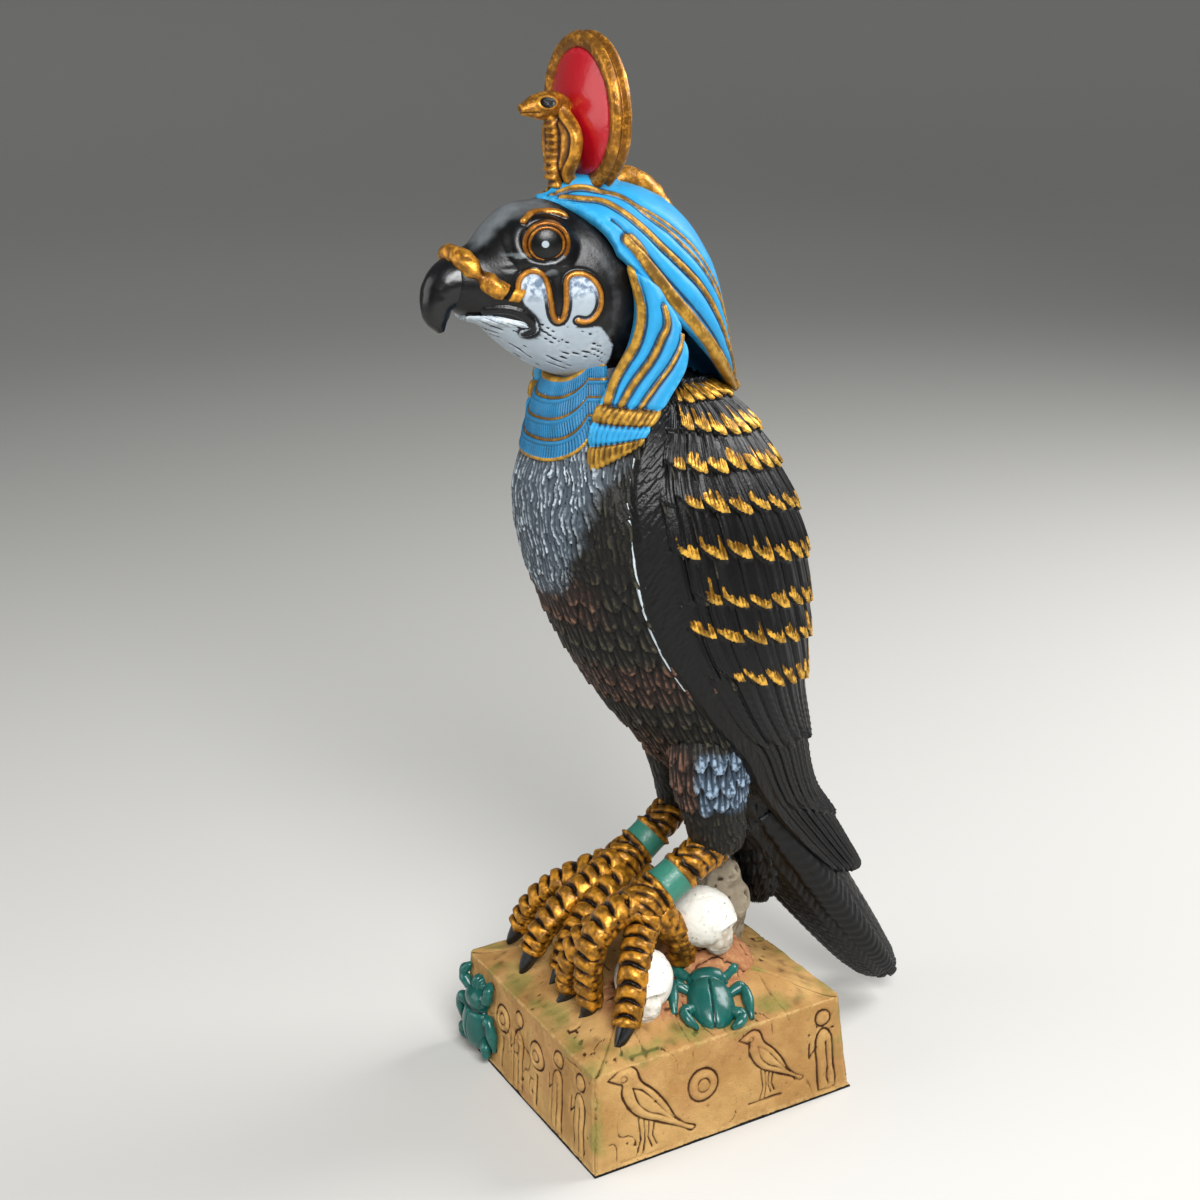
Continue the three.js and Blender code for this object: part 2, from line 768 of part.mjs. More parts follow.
function carving() {
  return [
    ...birdSign(-25.4, 16.6, 0.98, 0),
    ...ringSign(-6.4, 15.6, 5.2, 0),
    ...birdSign(12.4, 17.2, 0.76, 0),
    ...figureSign(32, 13, 0),
    ...ringSign(-15, 17.6, 4.2, 3),
    stroke(-15, 14, -15, 1.6, 3),
    ...figureSign(-5, 12.4, 3),
    ...ringSign(6, 17.2, 4.2, 3),
    stroke(6, 13.6, 6, 1.6, 3),
    ...figureSign(18, 12.4, 3),
    ...figureSign(30.4, 12.4, 3),
    ...ringSign(0, 15.6, 5, 2),
    ...ringSign(0, 15.6, 5, 1),
  ];
}

// A scarab beetle: place(forward, right, up) puts its own measures on the plinth.
function scarab(place) {
  const domed = (forward, up, length, width, height, sides) =>
    mapped(new THREE.SphereGeometry(1, sides, 4), (p) =>
      place(forward + length * p.x, width * p.z, up + height * p.y),
    );
  const legs = [1, -1].flatMap((hand) =>
    SCARAB.legs.map((points) => {
      const placed = points.map(([forward, right, up]) => vector(place(forward, hand * right, up)));
      const upright = vector(place(0, 0, 1)).sub(vector(place(0, 0, 0)));
      return limb(placed.map((p) => p.toArray()), 3, 2, () => [1.2, 1.2], upright);
    }),
  );
  return union([
    domed(-3, 0.6, 8, 6.4, 4.4, 8),
    domed(5, 0.6, 3.6, 5.8, 3.8, 6),
    domed(9, 0.4, 2.6, 3, 2.2, 5),
    ...legs,
  ]);
}

function onRoof(forward, right, up) {
  const turn = degToRad(SCARAB.heading);
  const x = SCARAB.x + forward * Math.cos(turn) + right * Math.sin(turn);
  const y = SCARAB.y + forward * Math.sin(turn) - right * Math.cos(turn);
  return [x, y, roofHeight(x, y) + up];
}

const onFront = (forward, right, up) => onSide(3, SCARAB.front + right, SCARAB.rise + forward, up);

// A skull in the rubble: a dome, a face with a jaw, and two sockets that look outwards.
function skull([x, y, z], radius, heading) {
  const turn = degToRad(heading);
  const at = (out, side, up) => [
    x + radius * (out * Math.cos(turn) - side * Math.sin(turn)),
    y + radius * (out * Math.sin(turn) + side * Math.cos(turn)),
    z + radius * up,
  ];
  const sized = (...shares) => shares.map((share) => share * radius);
  return union([
    ball([x, y, z], sized(1.06, 0.96, 1), 9, 6, heading),
    ball(at(0.5, 0, -0.62), sized(0.5, 0.56, 0.68), 7, 4, heading),
  ])
    .subtract(ball(at(0.96, 0.34, -0.4), sized(0.26, 0.24, 0.26), 5, 3, heading))
    .subtract(ball(at(0.96, -0.34, -0.4), sized(0.26, 0.24, 0.26), 5, 3, heading));
}

function rock() {
  return mapped(new THREE.IcosahedronGeometry(1, 1), (p) => {
    const rough = 1 + 0.12 * Math.sin(7 * p.x + 3 * p.z) * Math.cos(5 * p.y - 4 * p.z);
    return ROCK.centre.map((middle, i) => middle + rough * ROCK.radii[i] * p.getComponent(i));
  });
}

function plinth() {
  return union([
    block(),
    ball(MOUND.centre, MOUND.radii, 10, 5),
    rock(),
    ...SKULLS.map(({ centre, radius, heading }) => skull(centre, radius, heading)),
    scarab(onRoof),
    scarab(onFront),
  ])
    .subtract(union(carving()))
    .subtract(foot(LEGS.left, JOINT_GAP))
    .subtract(foot(LEGS.right, JOINT_GAP));
}

// The whole statue

function node(name, solid, material) {
  const shape = solid.getMesh();
  const geometry = new THREE.BufferGeometry();
  geometry.setAttribute("position", new THREE.BufferAttribute(shape.vertProperties, 3));
  geometry.setIndex(new THREE.BufferAttribute(shape.triVerts, 1));
  geometry.computeVertexNormals();
  const mesh = new THREE.Mesh(geometry, new THREE.MeshStandardMaterial(MATERIALS[material]));
  mesh.name = name;
  return mesh;
}

const statue = new THREE.Group();
statue.add(node("plinth", plinth(), "stone"));
statue.add(node("falcon", falcon(), "plumage"));
statue.add(node("sun_disc", crown(), "gilt"));

export default statue;
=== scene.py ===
# %% [markdown]
# # A painted falcon statue
#
# The real thing is a resin figurine about 280 mm tall: a falcon in a striped headcloth, with a sun disc
# and a cobra on its head, on a carved sandstone-look plinth. All its colour is paint, brushed on in three
# layers: a base coat, a thin dark wash that stays in the hollows, and a nearly dry brush over the ridges.
# So the modelling comes first here, because the paint follows the relief.
#
# This script loads the solid model as a frame, builds each visible skin over it as one fine mesh, and
# paints the skins with node materials.

import math

import bmesh
import bpy
import numpy as np
from mathutils import Matrix, Vector


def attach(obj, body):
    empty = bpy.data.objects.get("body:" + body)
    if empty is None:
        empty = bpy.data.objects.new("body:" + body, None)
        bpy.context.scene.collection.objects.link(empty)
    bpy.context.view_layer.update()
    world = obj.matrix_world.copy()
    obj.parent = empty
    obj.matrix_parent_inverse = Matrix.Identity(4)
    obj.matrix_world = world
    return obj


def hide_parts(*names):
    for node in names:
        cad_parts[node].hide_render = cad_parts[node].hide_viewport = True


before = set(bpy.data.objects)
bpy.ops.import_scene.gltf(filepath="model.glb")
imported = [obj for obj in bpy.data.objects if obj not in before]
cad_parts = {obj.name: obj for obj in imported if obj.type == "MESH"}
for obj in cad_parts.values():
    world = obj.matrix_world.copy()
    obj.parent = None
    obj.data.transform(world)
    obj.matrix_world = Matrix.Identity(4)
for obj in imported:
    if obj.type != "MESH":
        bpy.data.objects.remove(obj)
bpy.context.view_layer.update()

# %% [markdown]
# ## The camera
#
# It stands where the photograph was taken from: to the bird's left, a little above it. The figurine's
# plinth gives this place, because its edges are straight and its corners are easy to find.

# %% Camera
MM = 0.001
CAMERA = {"place": (395.8, -223.9, 291.8), "aim": (3.4, -13.7, 141.1), "roll": -1.785, "lens": 55.46}

camera = bpy.data.objects.new("camera", bpy.data.cameras.new("camera"))
bpy.context.scene.collection.objects.link(camera)
place = Vector(CAMERA["place"]) * MM
look = (Vector(CAMERA["aim"]) * MM - place).to_track_quat("-Z", "Y")
roll = Matrix.Rotation(math.radians(CAMERA["roll"]), 4, "Z")
camera.matrix_world = Matrix.Translation(place) @ look.to_matrix().to_4x4() @ roll
camera.data.lens = CAMERA["lens"]
camera.data.sensor_width = 36
bpy.context.scene.camera = camera

# %% [markdown]
# ## Numbers for whole skins at once
#
# A skin has tens of thousands of points, so every helper here works on a whole array of them. `track`
# draws a smooth curve through a few rows of sizes, in the way that a sculptor fills in between
# measured sections. `grain` gives soft random bumps that are the same on every run.

# %% Helpers for numbers
def clamp(x, low=0.0, high=1.0):
    return np.clip(x, low, high)


def smooth(low, high, x):
    t = clamp((x - low) / (high - low))
    return t * t * (3 - 2 * t)


def mix(a, b, t):
    return a + (b - a) * t


def points_of(x, y, z):
    return np.stack(np.broadcast_arrays(x, y, z), axis=-1).astype(float)


def unit(vectors):
    return vectors / np.maximum(np.linalg.norm(vectors, axis=-1, keepdims=True), 1e-9)


def track(rows):
    """A smooth curve through rows of [place, value, ...]: the result turns places into values."""
    table = np.array(rows, float)
    places, values = table[:, 0], table[:, 1:]
    last = len(rows) - 1
    ahead = np.minimum(np.arange(last + 1) + 1, last)
    behind = np.maximum(np.arange(last + 1) - 1, 0)
    slopes = (values[ahead] - values[behind]) / (places[ahead] - places[behind])[:, None]

    def at(place):
        t = clamp(np.asarray(place, float), places[0], places[-1])
        i = np.clip(np.searchsorted(places, t, side="right") - 1, 0, last - 1)
        span = (places[i + 1] - places[i])[..., None]
        s = (t - places[i])[..., None] / span
        return (
            (2 * s**3 - 3 * s**2 + 1) * values[i]
            + (s**3 - 2 * s**2 + s) * span * slopes[i]
            + (3 * s**2 - 2 * s**3) * values[i + 1]
            + (s**3 - s**2) * span * slopes[i + 1]
        )

    return at


def evenly(rows):
    return [[i / (len(rows) - 1), *row] for i, row in enumerate(rows)]


def lot(*whole):
    """A number from 0 to 1 drawn for each set of whole numbers, the same on every run."""
    mixed = np.zeros(np.broadcast(*whole).shape, np.int64)
    for number, prime in zip(whole, (73856093, 19349663, 83492791, 49979687)):
        mixed = mixed ^ (np.asarray(number).astype(np.int64) * prime)
    mixed = (mixed ^ (mixed >> 13)) * 1274126177 & 0x7FFFFFFF
    mixed = (mixed ^ (mixed >> 15)) * 668265263 & 0x7FFFFFFF
    return (mixed >> 8) % 10007 / 10006


def grain(points, size, seed=0):
    """Soft random bumps from -1 to 1, about size apart."""
    cell = np.floor(points / size)
    part = points / size - cell
    part = part * part * (3 - 2 * part)
    total = np.zeros(len(points))
    for corner in np.ndindex(2, 2, 2):
        near = np.where(corner, part, 1 - part).prod(axis=-1)
        total += near * (2 * lot(*(cell + corner).T, seed) - 1)
    return total


def to_line(points, line):
    """How far each point lies from a line of straight stretches, and its place along it from 0 to 1."""
    line = np.array(line, float)
    best = np.full(len(points), 1e9)
    place = np.zeros(len(points))
    for i, (start, end) in enumerate(zip(line[:-1], line[1:])):
        run = end - start
        share = clamp((points - start) @ run / (run @ run))
        away = np.linalg.norm(points - start - share[:, None] * run, axis=-1)
        nearer = away < best
        best = np.where(nearer, away, best)
        place = np.where(nearer, (i + share) / (len(line) - 1), place)
    return best, place


def curved(line, steps=6):
    """The same line with its corners rounded."""
    at = track(evenly(line))
    return at(np.linspace(0, 1, steps * (len(line) - 1) + 1))


def inside(points, outline):
    """How far inside a flat outline each point lies: below 0 outside it."""
    x, y = points.T
    odd = np.zeros(len(points), bool)
    for (ax, ay), (bx, by) in zip(outline, [*outline[1:], outline[0]]):
        crosses = (ay > y) != (by > y)
        odd ^= crosses & (x < (bx - ax) * (y - ay) / (by - ay + 1e-12) + ax)
    away, _ = to_line(points, [*outline, outline[0]])
    return np.where(odd, away, -away)


def bead(away, width, height):
    """A round bead of that half width and height along a line."""
    return height * np.sqrt(clamp(1 - (away / width) ** 2))


def dent(away, width, depth):
    """A soft groove or hollow."""
    return -depth * np.exp(-((away / width) ** 2))


# %% [markdown]
# ## From a grid to a closed skin
#
# Every skin starts as a flat grid from `bmesh.ops.create_grid`. A shape function moves its points to
# the sculpted form and says how far each one stands out, such as on a feather's tip. The grid's edges
# then meet, `remove_doubles` welds them, and the mesh is closed.
#
# Relief is added along the normals of the welded mesh, so it grows straight out of the form, also
# across the weld. Last, each point's height over a smoothed copy of the skin is stored as "relief",
# in mm: below 0 in hollows, above 0 on ridges. The paint reads it, as a real wash would.

# %% Skins
def read(mesh):
    flat = np.empty(3 * len(mesh.vertices), np.float32)
    mesh.vertices.foreach_get("co", flat)
    return flat.reshape(-1, 3).astype(float)


def write(mesh, points):
    mesh.vertices.foreach_set("co", np.asarray(points, np.float32).ravel())
    mesh.update()


def put_mark(mesh, name, values):
    mark = mesh.attributes.get(name) or mesh.attributes.new(name, "FLOAT", "POINT")
    values = np.broadcast_to(np.asarray(values, np.float32), len(mesh.vertices))
    mark.data.foreach_set("value", np.ascontiguousarray(values))


def get_mark(mesh, name):
    values = np.empty(len(mesh.vertices), np.float32)
    mesh.attributes[name].data.foreach_get("value", values)
    return values.astype(float)


def normals_of(mesh):
    flat = np.empty(3 * len(mesh.vertices), np.float32)
    mesh.vertex_normals.foreach_get("vector", flat)
    return flat.reshape(-1, 3).astype(float)


def record_relief(mesh, rounds):
    """Stores each point's height in mm over a copy of the skin that was smoothed that many times."""
    ends = np.empty(2 * len(mesh.edges), np.int32)
    mesh.edges.foreach_get("vertices", ends)
    a, b = ends.reshape(-1, 2).T
    points = read(mesh)
    count = len(points)
    neighbours = np.bincount(a, minlength=count) + np.bincount(b, minlength=count)
    soft = points.copy()
    for _ in range(rounds):
        for axis in range(3):
            total = np.bincount(a, soft[b, axis], count) + np.bincount(b, soft[a, axis], count)
            soft[:, axis] = (soft[:, axis] + total / neighbours) / 2
    put_mark(mesh, "relief", ((points - soft) * normals_of(mesh)).sum(axis=-1) / MM)


def skin(name, columns, rows, shape, rounds=30):
    """A closed skin. shape(u, v) gives points in mm, how far each stands out, and marks for the paint."""
    bm = bmesh.new()
    bmesh.ops.create_grid(bm, x_segments=columns, y_segments=rows, size=0.5)
    mesh = bpy.data.meshes.new(name)
    bm.to_mesh(mesh)
    bm.free()
    flat = read(mesh)
    points, height, marks = shape(flat[:, 0] + 0.5, flat[:, 1] + 0.5)
    write(mesh, points * MM)
    for mark, values in {**marks, "height": height}.items():
        put_mark(mesh, mark, values)
    bm = bmesh.new()
    bm.from_mesh(mesh)
    bmesh.ops.remove_doubles(bm, verts=bm.verts, dist=1e-6)
    open_edges = [edge for edge in bm.edges if edge.is_boundary]
    if open_edges:
        bmesh.ops.holes_fill(bm, edges=open_edges, sides=0)
    bmesh.ops.recalc_face_normals(bm, faces=bm.faces)
    bm.to_mesh(mesh)
    bm.free()
    mesh.update()
    write(mesh, read(mesh) + normals_of(mesh) * get_mark(mesh, "height")[:, None] * MM)
    mesh.attributes.remove(mesh.attributes["height"])
    record_relief(mesh, rounds)
    return mesh


def tube(name, columns, rows, place, rounds=30, cap=3):
    """A closed tube: place(along, angle, share) is asked for the side with share 1, and for the ends."""

    def shape(u, v):
        end = cap / rows
        along = clamp((v - end) / (1 - 2 * end))
        share = clamp(np.minimum(v, 1 - v) / end)
        return place(along, 2 * math.pi * u, share)

    return skin(name, columns, rows, shape, rounds)


def leaf(name, columns, rows, rim, place, rounds=30):
    """A closed leaf with a round rim: place(across, along, depth) with depth 0 outside and 1 inside."""
    inner = columns // 5

    def shape(u, v):
        step = u * (columns + inner)
        across = np.where(step <= columns, step / columns, 1 - (step - columns) / inner)
        across = clamp(across)
        near = clamp(np.minimum(across, 1 - across) / rim[0])
        end = clamp(np.minimum(v, 1 - v) / rim[1])
        full = np.sqrt(1 - (1 - near) ** 2) * np.sqrt(1 - (1 - end) ** 2)
        outer = step <= columns
        depth = 0.5 + np.where(outer, -0.5, 0.5) * full
        points, height, marks = place(across, v, depth)
        return points, np.where(outer, height * full, 0), marks

    return skin(name, columns, rows, shape, rounds)


def joined(name, meshes):
    bm = bmesh.new()
    for mesh in meshes:
        bm.from_mesh(mesh)
        bpy.data.meshes.remove(mesh)
    made = bpy.data.meshes.new(name)
    bm.to_mesh(made)
    bm.free()
    return made


def triangles_in(mesh):
    return sum(len(face.vertices) - 2 for face in mesh.polygons)


def thinned(mesh, most):
    """Merges faces where the skin is flattest until that many thousand triangles are left."""
    count = triangles_in(mesh)
    if count <= 1000 * most:
        return mesh
    thing = bpy.data.objects.new("full", mesh)
    bpy.context.scene.collection.objects.link(thing)
    thing.modifiers.new("thin", "DECIMATE").ratio = 1000 * most / count
    graph = bpy.context.evaluated_depsgraph_get()
    made = bpy.data.meshes.new_from_object(
        thing.evaluated_get(graph), preserve_all_data_layers=True, depsgraph=graph
    )
    bpy.data.objects.remove(thing)
    bpy.data.meshes.remove(mesh)
    return made


def piece(name, mesh, material, node, most):
    """Shows a finished skin, of at most that many thousand triangles, in place of its plain solid."""
    mesh = thinned(mesh, most)
    thing = bpy.data.objects.new(name, mesh)
    bpy.context.scene.collection.objects.link(thing)
    mesh.name = name
    mesh.shade_smooth()
    mesh.materials.append(material)
    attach(thing, "root")
    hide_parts(node)
    print(f"{name}: {triangles_in(mesh)} triangles")


def limb(rows, side=(1, 0, 0)):
    """Follows [X, Y, Z, ...] rows: the result gives a point from along, angle, half width, half height."""
    at = track(evenly(rows))
    side = np.array(side, float)

    def place(along, angle, width, height):
        middle = at(along)[..., :3]
        ahead = at(along + 0.01)[..., :3] - at(along - 0.01)[..., :3]
        lift = unit(np.cross(side, ahead))
        return (
            middle
            + side * (width * np.cos(angle))[..., None]
            + lift * (height * np.sin(angle))[..., None]
        )

    return place, at


# %% [markdown]
# ## Paint
#
# Three effects come back in nearly every finish, so each is a node group with named sockets. "layered
# paint" lays a dark wash in the hollows and a dry brush on the ridges. "leaf gold" breaks gold paint
# into streaks of light and brown. "fine tooth" gives the small bumps of brushed paint.

# %% Node helpers
def colour(code):
    """A painter's colour code such as #c39a5c, as the linear values that a shader needs."""
    parts = [int(code[i : i + 2], 16) / 255 for i in (1, 3, 5)]
    return (*(p / 12.92 if p <= 0.04045 else ((p + 0.055) / 1.055) ** 2.4 for p in parts), 1.0)


class Bench:
    """Adds nodes to one node tree and wires them."""

    def __init__(self, tree):
        self.tree = tree

    def node(self, kind, inputs=None, **settings):
        made = self.tree.nodes.new("ShaderNode" + kind)
        for name, value in settings.items():
            setattr(made, name, value)
        for key, value in (inputs or {}).items():
            if isinstance(value, bpy.types.NodeSocket):
                self.tree.links.new(value, made.inputs[key])
            else:
                made.inputs[key].default_value = value
        return made

    def mark(self, name):
        return self.node("Attribute", attribute_name=name).outputs["Fac"]

    def noise(self, size, detail=3.0, stretch=(1, 1, 1)):
        """Noise with features about size mm apart, stretched along the object's axes."""
        where = self.node("TexCoord").outputs["Object"]
        scaled = self.node("Mapping", {"Vector": where, "Scale": stretch}).outputs["Vector"]
        made = self.node("TexNoise", {"Vector": scaled, "Scale": 1 / (size * MM), "Detail": detail})
        return made.outputs["Fac"]

    def sum(self, a, b, operation="ADD"):
        return self.node("Math", {0: a, 1: b}, operation=operation).outputs[0]

    def rise(self, value, low, high, first=0.0, last=1.0):
        inputs = {"Value": value, "From Min": low, "From Max": high, "To Min": first, "To Max": last}
        return self.node("MapRange", inputs, interpolation_type="SMOOTHSTEP").outputs["Result"]

    def blend(self, share, a, b, blend_type="MIX"):
        made = self.node("Mix", {0: share, 6: a, 7: b}, data_type="RGBA", blend_type=blend_type)
        return made.outputs[2]

    def group(self, tree, inputs):
        return self.node("Group", inputs, node_tree=tree).outputs

    def bump(self, height, depth, strength=1.0):
        made = self.node("Bump", {"Height": height, "Distance": depth * MM, "Strength": strength})
        return made.outputs["Normal"]


# %% Layered paint
BLACK = colour("#0a0a0b")
WHITE = colour("#ffffff")


def start_group(name, inputs, outputs):
    """An empty node group with these inputs and outputs: its tree, bench, entrance and exit."""
    tree = bpy.data.node_groups.new(name, "ShaderNodeTree")
    for socket, value in inputs.items():
        kind = "NodeSocketColor" if isinstance(value, tuple) else "NodeSocketFloat"
        tree.interface.new_socket(socket, in_out="INPUT", socket_type=kind).default_value = value
    for socket, kind in outputs.items():
        tree.interface.new_socket(socket, in_out="OUTPUT", socket_type=kind)
    enter = tree.nodes.new("NodeGroupInput")
    leave = tree.nodes.new("NodeGroupOutput")
    return tree, Bench(tree), enter.outputs, leave.inputs


def layered_paint():
    inputs = {"Base": WHITE, "Wash": BLACK, "Brush": WHITE, "Wash depth": 0.3, "Brush height": 0.4}
    inputs |= {"Wash amount": 1.0, "Brush amount": 0.6, "Streaks": 1.0}
    tree, bench, given, out = start_group("layered paint", inputs, {"Colour": "NodeSocketColor"})
    relief = bench.mark("relief")
    hollow = bench.rise(bench.sum(relief, -1.0, "MULTIPLY"), 0.0, given["Wash depth"])
    ridge = bench.rise(relief, 0.0, given["Brush height"])
    patchy = bench.rise(bench.noise(1.3, 4.0), 0.36, 0.6)
    uneven = bench.sum(1.0, bench.sum(given["Streaks"], bench.sum(patchy, -1.0), "MULTIPLY"))
    brushed = bench.sum(bench.sum(ridge, given["Brush amount"], "MULTIPLY"), uneven, "MULTIPLY")
    washed = bench.sum(hollow, given["Wash amount"], "MULTIPLY")
    dark = bench.blend(washed, given["Base"], given["Wash"])
    tree.links.new(bench.blend(brushed, dark, given["Brush"]), out["Colour"])
    return tree


def leaf_gold():
    inputs = {"Light": colour("#e3a83a"), "Middle": colour("#b07a1e"), "Brown": colour("#4a2606")}
    inputs |= {"Wash depth": 0.25, "Grain": 1.0}
    outputs = {"Colour": "NodeSocketColor", "Roughness": "NodeSocketFloat"}
    tree, bench, given, out = start_group("leaf gold", inputs, outputs)
    relief = bench.mark("relief")
    hollow = bench.rise(bench.sum(relief, -1.0, "MULTIPLY"), -0.02, given["Wash depth"])
    ridge = bench.rise(relief, -0.02, 0.3)
    coarse = bench.rise(bench.noise(2.2, 5.0), 0.35, 0.68)
    fine = bench.rise(bench.noise(0.7, 3.0), 0.3, 0.7)
    light = bench.sum(ridge, bench.sum(coarse, fine, "MULTIPLY"))
    lit = bench.blend(bench.rise(light, 0.1, 1.3), given["Middle"], given["Light"])
    stain = bench.sum(bench.rise(coarse, 1.0, 0.0), bench.sum(given["Grain"], 0.4, "MULTIPLY"), "MULTIPLY")
    stained = bench.blend(stain, lit, given["Brown"])
    tree.links.new(bench.blend(hollow, stained, given["Brown"]), out["Colour"])
    tree.links.new(bench.rise(fine, 0.0, 1.0, 0.28, 0.5), out["Roughness"])
    return tree


def fine_tooth():
    inputs = {"Coarse": 0.5, "Fine": 0.5}
    tree, bench, given, out = start_group("fine tooth", inputs, {"Height": "NodeSocketFloat"})
    coarse = bench.sum(bench.noise(2.4, 3.0), given["Coarse"], "MULTIPLY")
    fine = bench.sum(bench.noise(0.5, 4.0), given["Fine"], "MULTIPLY")
    tree.links.new(bench.sum(coarse, fine), out["Height"])
    return tree


LAYERED = layered_paint()
GOLD = leaf_gold()
TOOTH = fine_tooth()

# %% [markdown]
# ### Finishes
#
# Each finish below is one material. Metal paint sits in patches beside plain paint on the same skin, so
# a mark in mm says how far inside a patch a point lies, and a little noise frays the brushed edge.


# %% Finishes for the feathers
def new_material(name, **plain):
    """A material with one shader, whose plain values are set on its own sockets."""
    made = bpy.data.materials.new(name)
    made.use_nodes = True
    shader = made.node_tree.nodes["Principled BSDF"]
    for socket, value in plain.items():
        shader.inputs[socket.replace("_", " ")].default_value = value
    return made, Bench(made.node_tree), shader


def connect(bench, shader, **links):
    for socket, value in links.items():
        bench.tree.links.new(value, shader.inputs[socket.replace("_", " ")])


def edge_of(bench, mark, fray=0.5, soft=0.12):
    """The share of paint at a patch's edge, frayed by about that many mm."""
    frayed = bench.sum(bench.noise(0.8, 3.0), -0.5)
    shifted = bench.sum(bench.mark(mark), bench.sum(frayed, 2 * fray, "MULTIPLY"))
    return bench.rise(shifted, -soft, soft)


def paint(bench, base, wash, brush, **values):
    inputs = {"Base": base, "Wash": wash, "Brush": brush}
    inputs |= {name.replace("_", " "): value for name, value in values.items()}
    return bench.group(LAYERED, inputs)["Colour"]


def dark_feathers():
    """Glossy black with grey on the ridges, gold feather tips and a white line on the wing's edge."""
    made, bench, shader = new_material("black plumage", Roughness=0.36, Specular_IOR_Level=0.28)
    black = paint(
        bench, colour("#050506"), colour("#010101"), colour("#2a2e32"), Brush_height=0.9, Brush_amount=0.35
    )
    gilt = edge_of(bench, "gold", 0.5)
    inputs = {"Light": colour("#f2bc4e"), "Middle": colour("#a8731c"), "Brown": colour("#2a1504")}
    gold = bench.group(GOLD, {**inputs, "Wash depth": 0.14, "Grain": 1.6})
    gilded = bench.blend(gilt, black, gold["Colour"])
    edged = bench.blend(edge_of(bench, "white", 0.1), gilded, colour("#c3ced2"))
    height = bench.group(TOOTH, {"Coarse": 0.3, "Fine": 0.4})["Height"]
    connect(
        bench,
        shader,
        Base_Color=edged,
        Metallic=bench.sum(gilt, 0.55, "MULTIPLY"),
        Normal=bench.bump(height, 0.25),
    )
    return made


def breast_feathers():
    """Pale strands above, brown and olive-black scales below, and a blue-grey patch on the thigh."""
    made, bench, shader = new_material("breast plumage", Roughness=0.5, Specular_IOR_Level=0.25)
    dark = paint(
        bench, colour("#0b0a08"), colour("#020202"), colour("#57523f"), Brush_height=0.45, Brush_amount=0.6
    )
    brown = paint(
        bench, colour("#1d120e"), colour("#040302"), colour("#7c5a48"), Brush_height=0.4, Brush_amount=0.8
    )
    pale = paint(
        bench, colour("#3d4750"), colour("#05070a"), colour("#b9c4cc"), Brush_height=0.3, Brush_amount=1.0
    )
    blue = paint(
        bench, colour("#2d3a48"), colour("#06090d"), colour("#93a8bd"), Brush_height=0.35, Brush_amount=0.9
    )
    patchy = bench.sum(bench.noise(5.0, 4.0), -0.5)

    def zone(name):
        return bench.rise(bench.sum(bench.mark(name), patchy), 0.12, 0.88)

    tinted = bench.blend(zone("brown"), dark, brown)
    tinted = bench.blend(zone("blue"), tinted, blue)
    tinted = bench.blend(zone("pale"), tinted, pale)
    height = bench.group(TOOTH, {"Coarse": 0.3, "Fine": 0.5})["Height"]
    connect(bench, shader, Base_Color=tinted, Normal=bench.bump(height, 0.25))
    return made


def face_paint(name, fray):
    """Glossy black, grey brush with a painted reflection on the forehead, white chin and cheek, and gold
    lines round the eye and on the cheek.
    """
    made, bench, shader = new_material(name, Roughness=0.3, Specular_IOR_Level=0.35)
    black = paint(
        bench, colour("#060607"), colour("#010101"), colour("#2c3034"), Brush_height=0.6, Brush_amount=0.35
    )
    # Grey from the mark: dry brush and strokes, and on top of the forehead a painted reflection.
    cloudy = bench.rise(bench.noise(3.5, 4.0), 0.3, 0.7)
    grey = bench.rise(bench.sum(bench.mark("grey"), bench.sum(cloudy, 0.25, "MULTIPLY")), 0.15, 1.1)
    black = bench.blend(grey, black, colour("#63686b"))
    chin = paint(
        bench, colour("#96a1aa"), colour("#0a0d11"), colour("#d5dce0"), Wash_depth=0.1, Brush_height=0.16
    )
    dusted = bench.blend(bench.rise(bench.noise(1.6, 4.0), 0.4, 0.6), colour("#5f7186"), colour("#b4c0cb"))
    blue = bench.blend(bench.rise(bench.mark("blue"), 0.0, 1.0), chin, dusted)
    white = edge_of(bench, "white", fray, 0.06 + 0.6 * fray)
    face = bench.blend(white, black, blue)
    gilt = edge_of(bench, "gold", 0.12)
    gold = bench.group(GOLD, {"Middle": colour("#8a5212"), "Light": colour("#bd8030")})
    height = bench.group(TOOTH, {"Coarse": 0.3, "Fine": 0.15})["Height"]
    connect(
        bench,
        shader,
        Base_Color=bench.blend(gilt, face, gold["Colour"]),
        Metallic=bench.sum(gilt, 0.5, "MULTIPLY"),
        Roughness=bench.rise(white, 0.0, 1.0, 0.3, 0.5),
        Normal=bench.bump(height, 0.2),
    )
    return made


def cloth_paint(name, blue, shade, light):
    """The headcloth's flat blue with dark grooves, and its raised gold stripes."""
    made, bench, shader = new_material(name, Roughness=0.5, Specular_IOR_Level=0.35)
    cloth = paint(
        bench, colour(blue), colour(shade), colour(light), Wash_depth=0.28, Brush_height=0.6, Brush_amount=0.5
    )
    dusty = bench.sum(bench.noise(6.0, 4.0), -0.35)
    cloth = bench.blend(bench.rise(dusty, 0.0, 0.6, 0.0, 0.3), cloth, colour(shade))
    gilt = edge_of(bench, "gold", 0.15)
    inputs = {"Middle": colour("#805c1c"), "Light": colour("#b98c34"), "Brown": colour("#2b1a05")}
    gold = bench.group(GOLD, inputs)
    height = bench.group(TOOTH, {"Coarse": 0.4, "Fine": 0.25})["Height"]
    connect(
        bench,
        shader,
        Base_Color=bench.blend(gilt, cloth, gold["Colour"]),
        Metallic=bench.sum(gilt, 0.45, "MULTIPLY"),
        Normal=bench.bump(height, 0.22),
    )
    return made


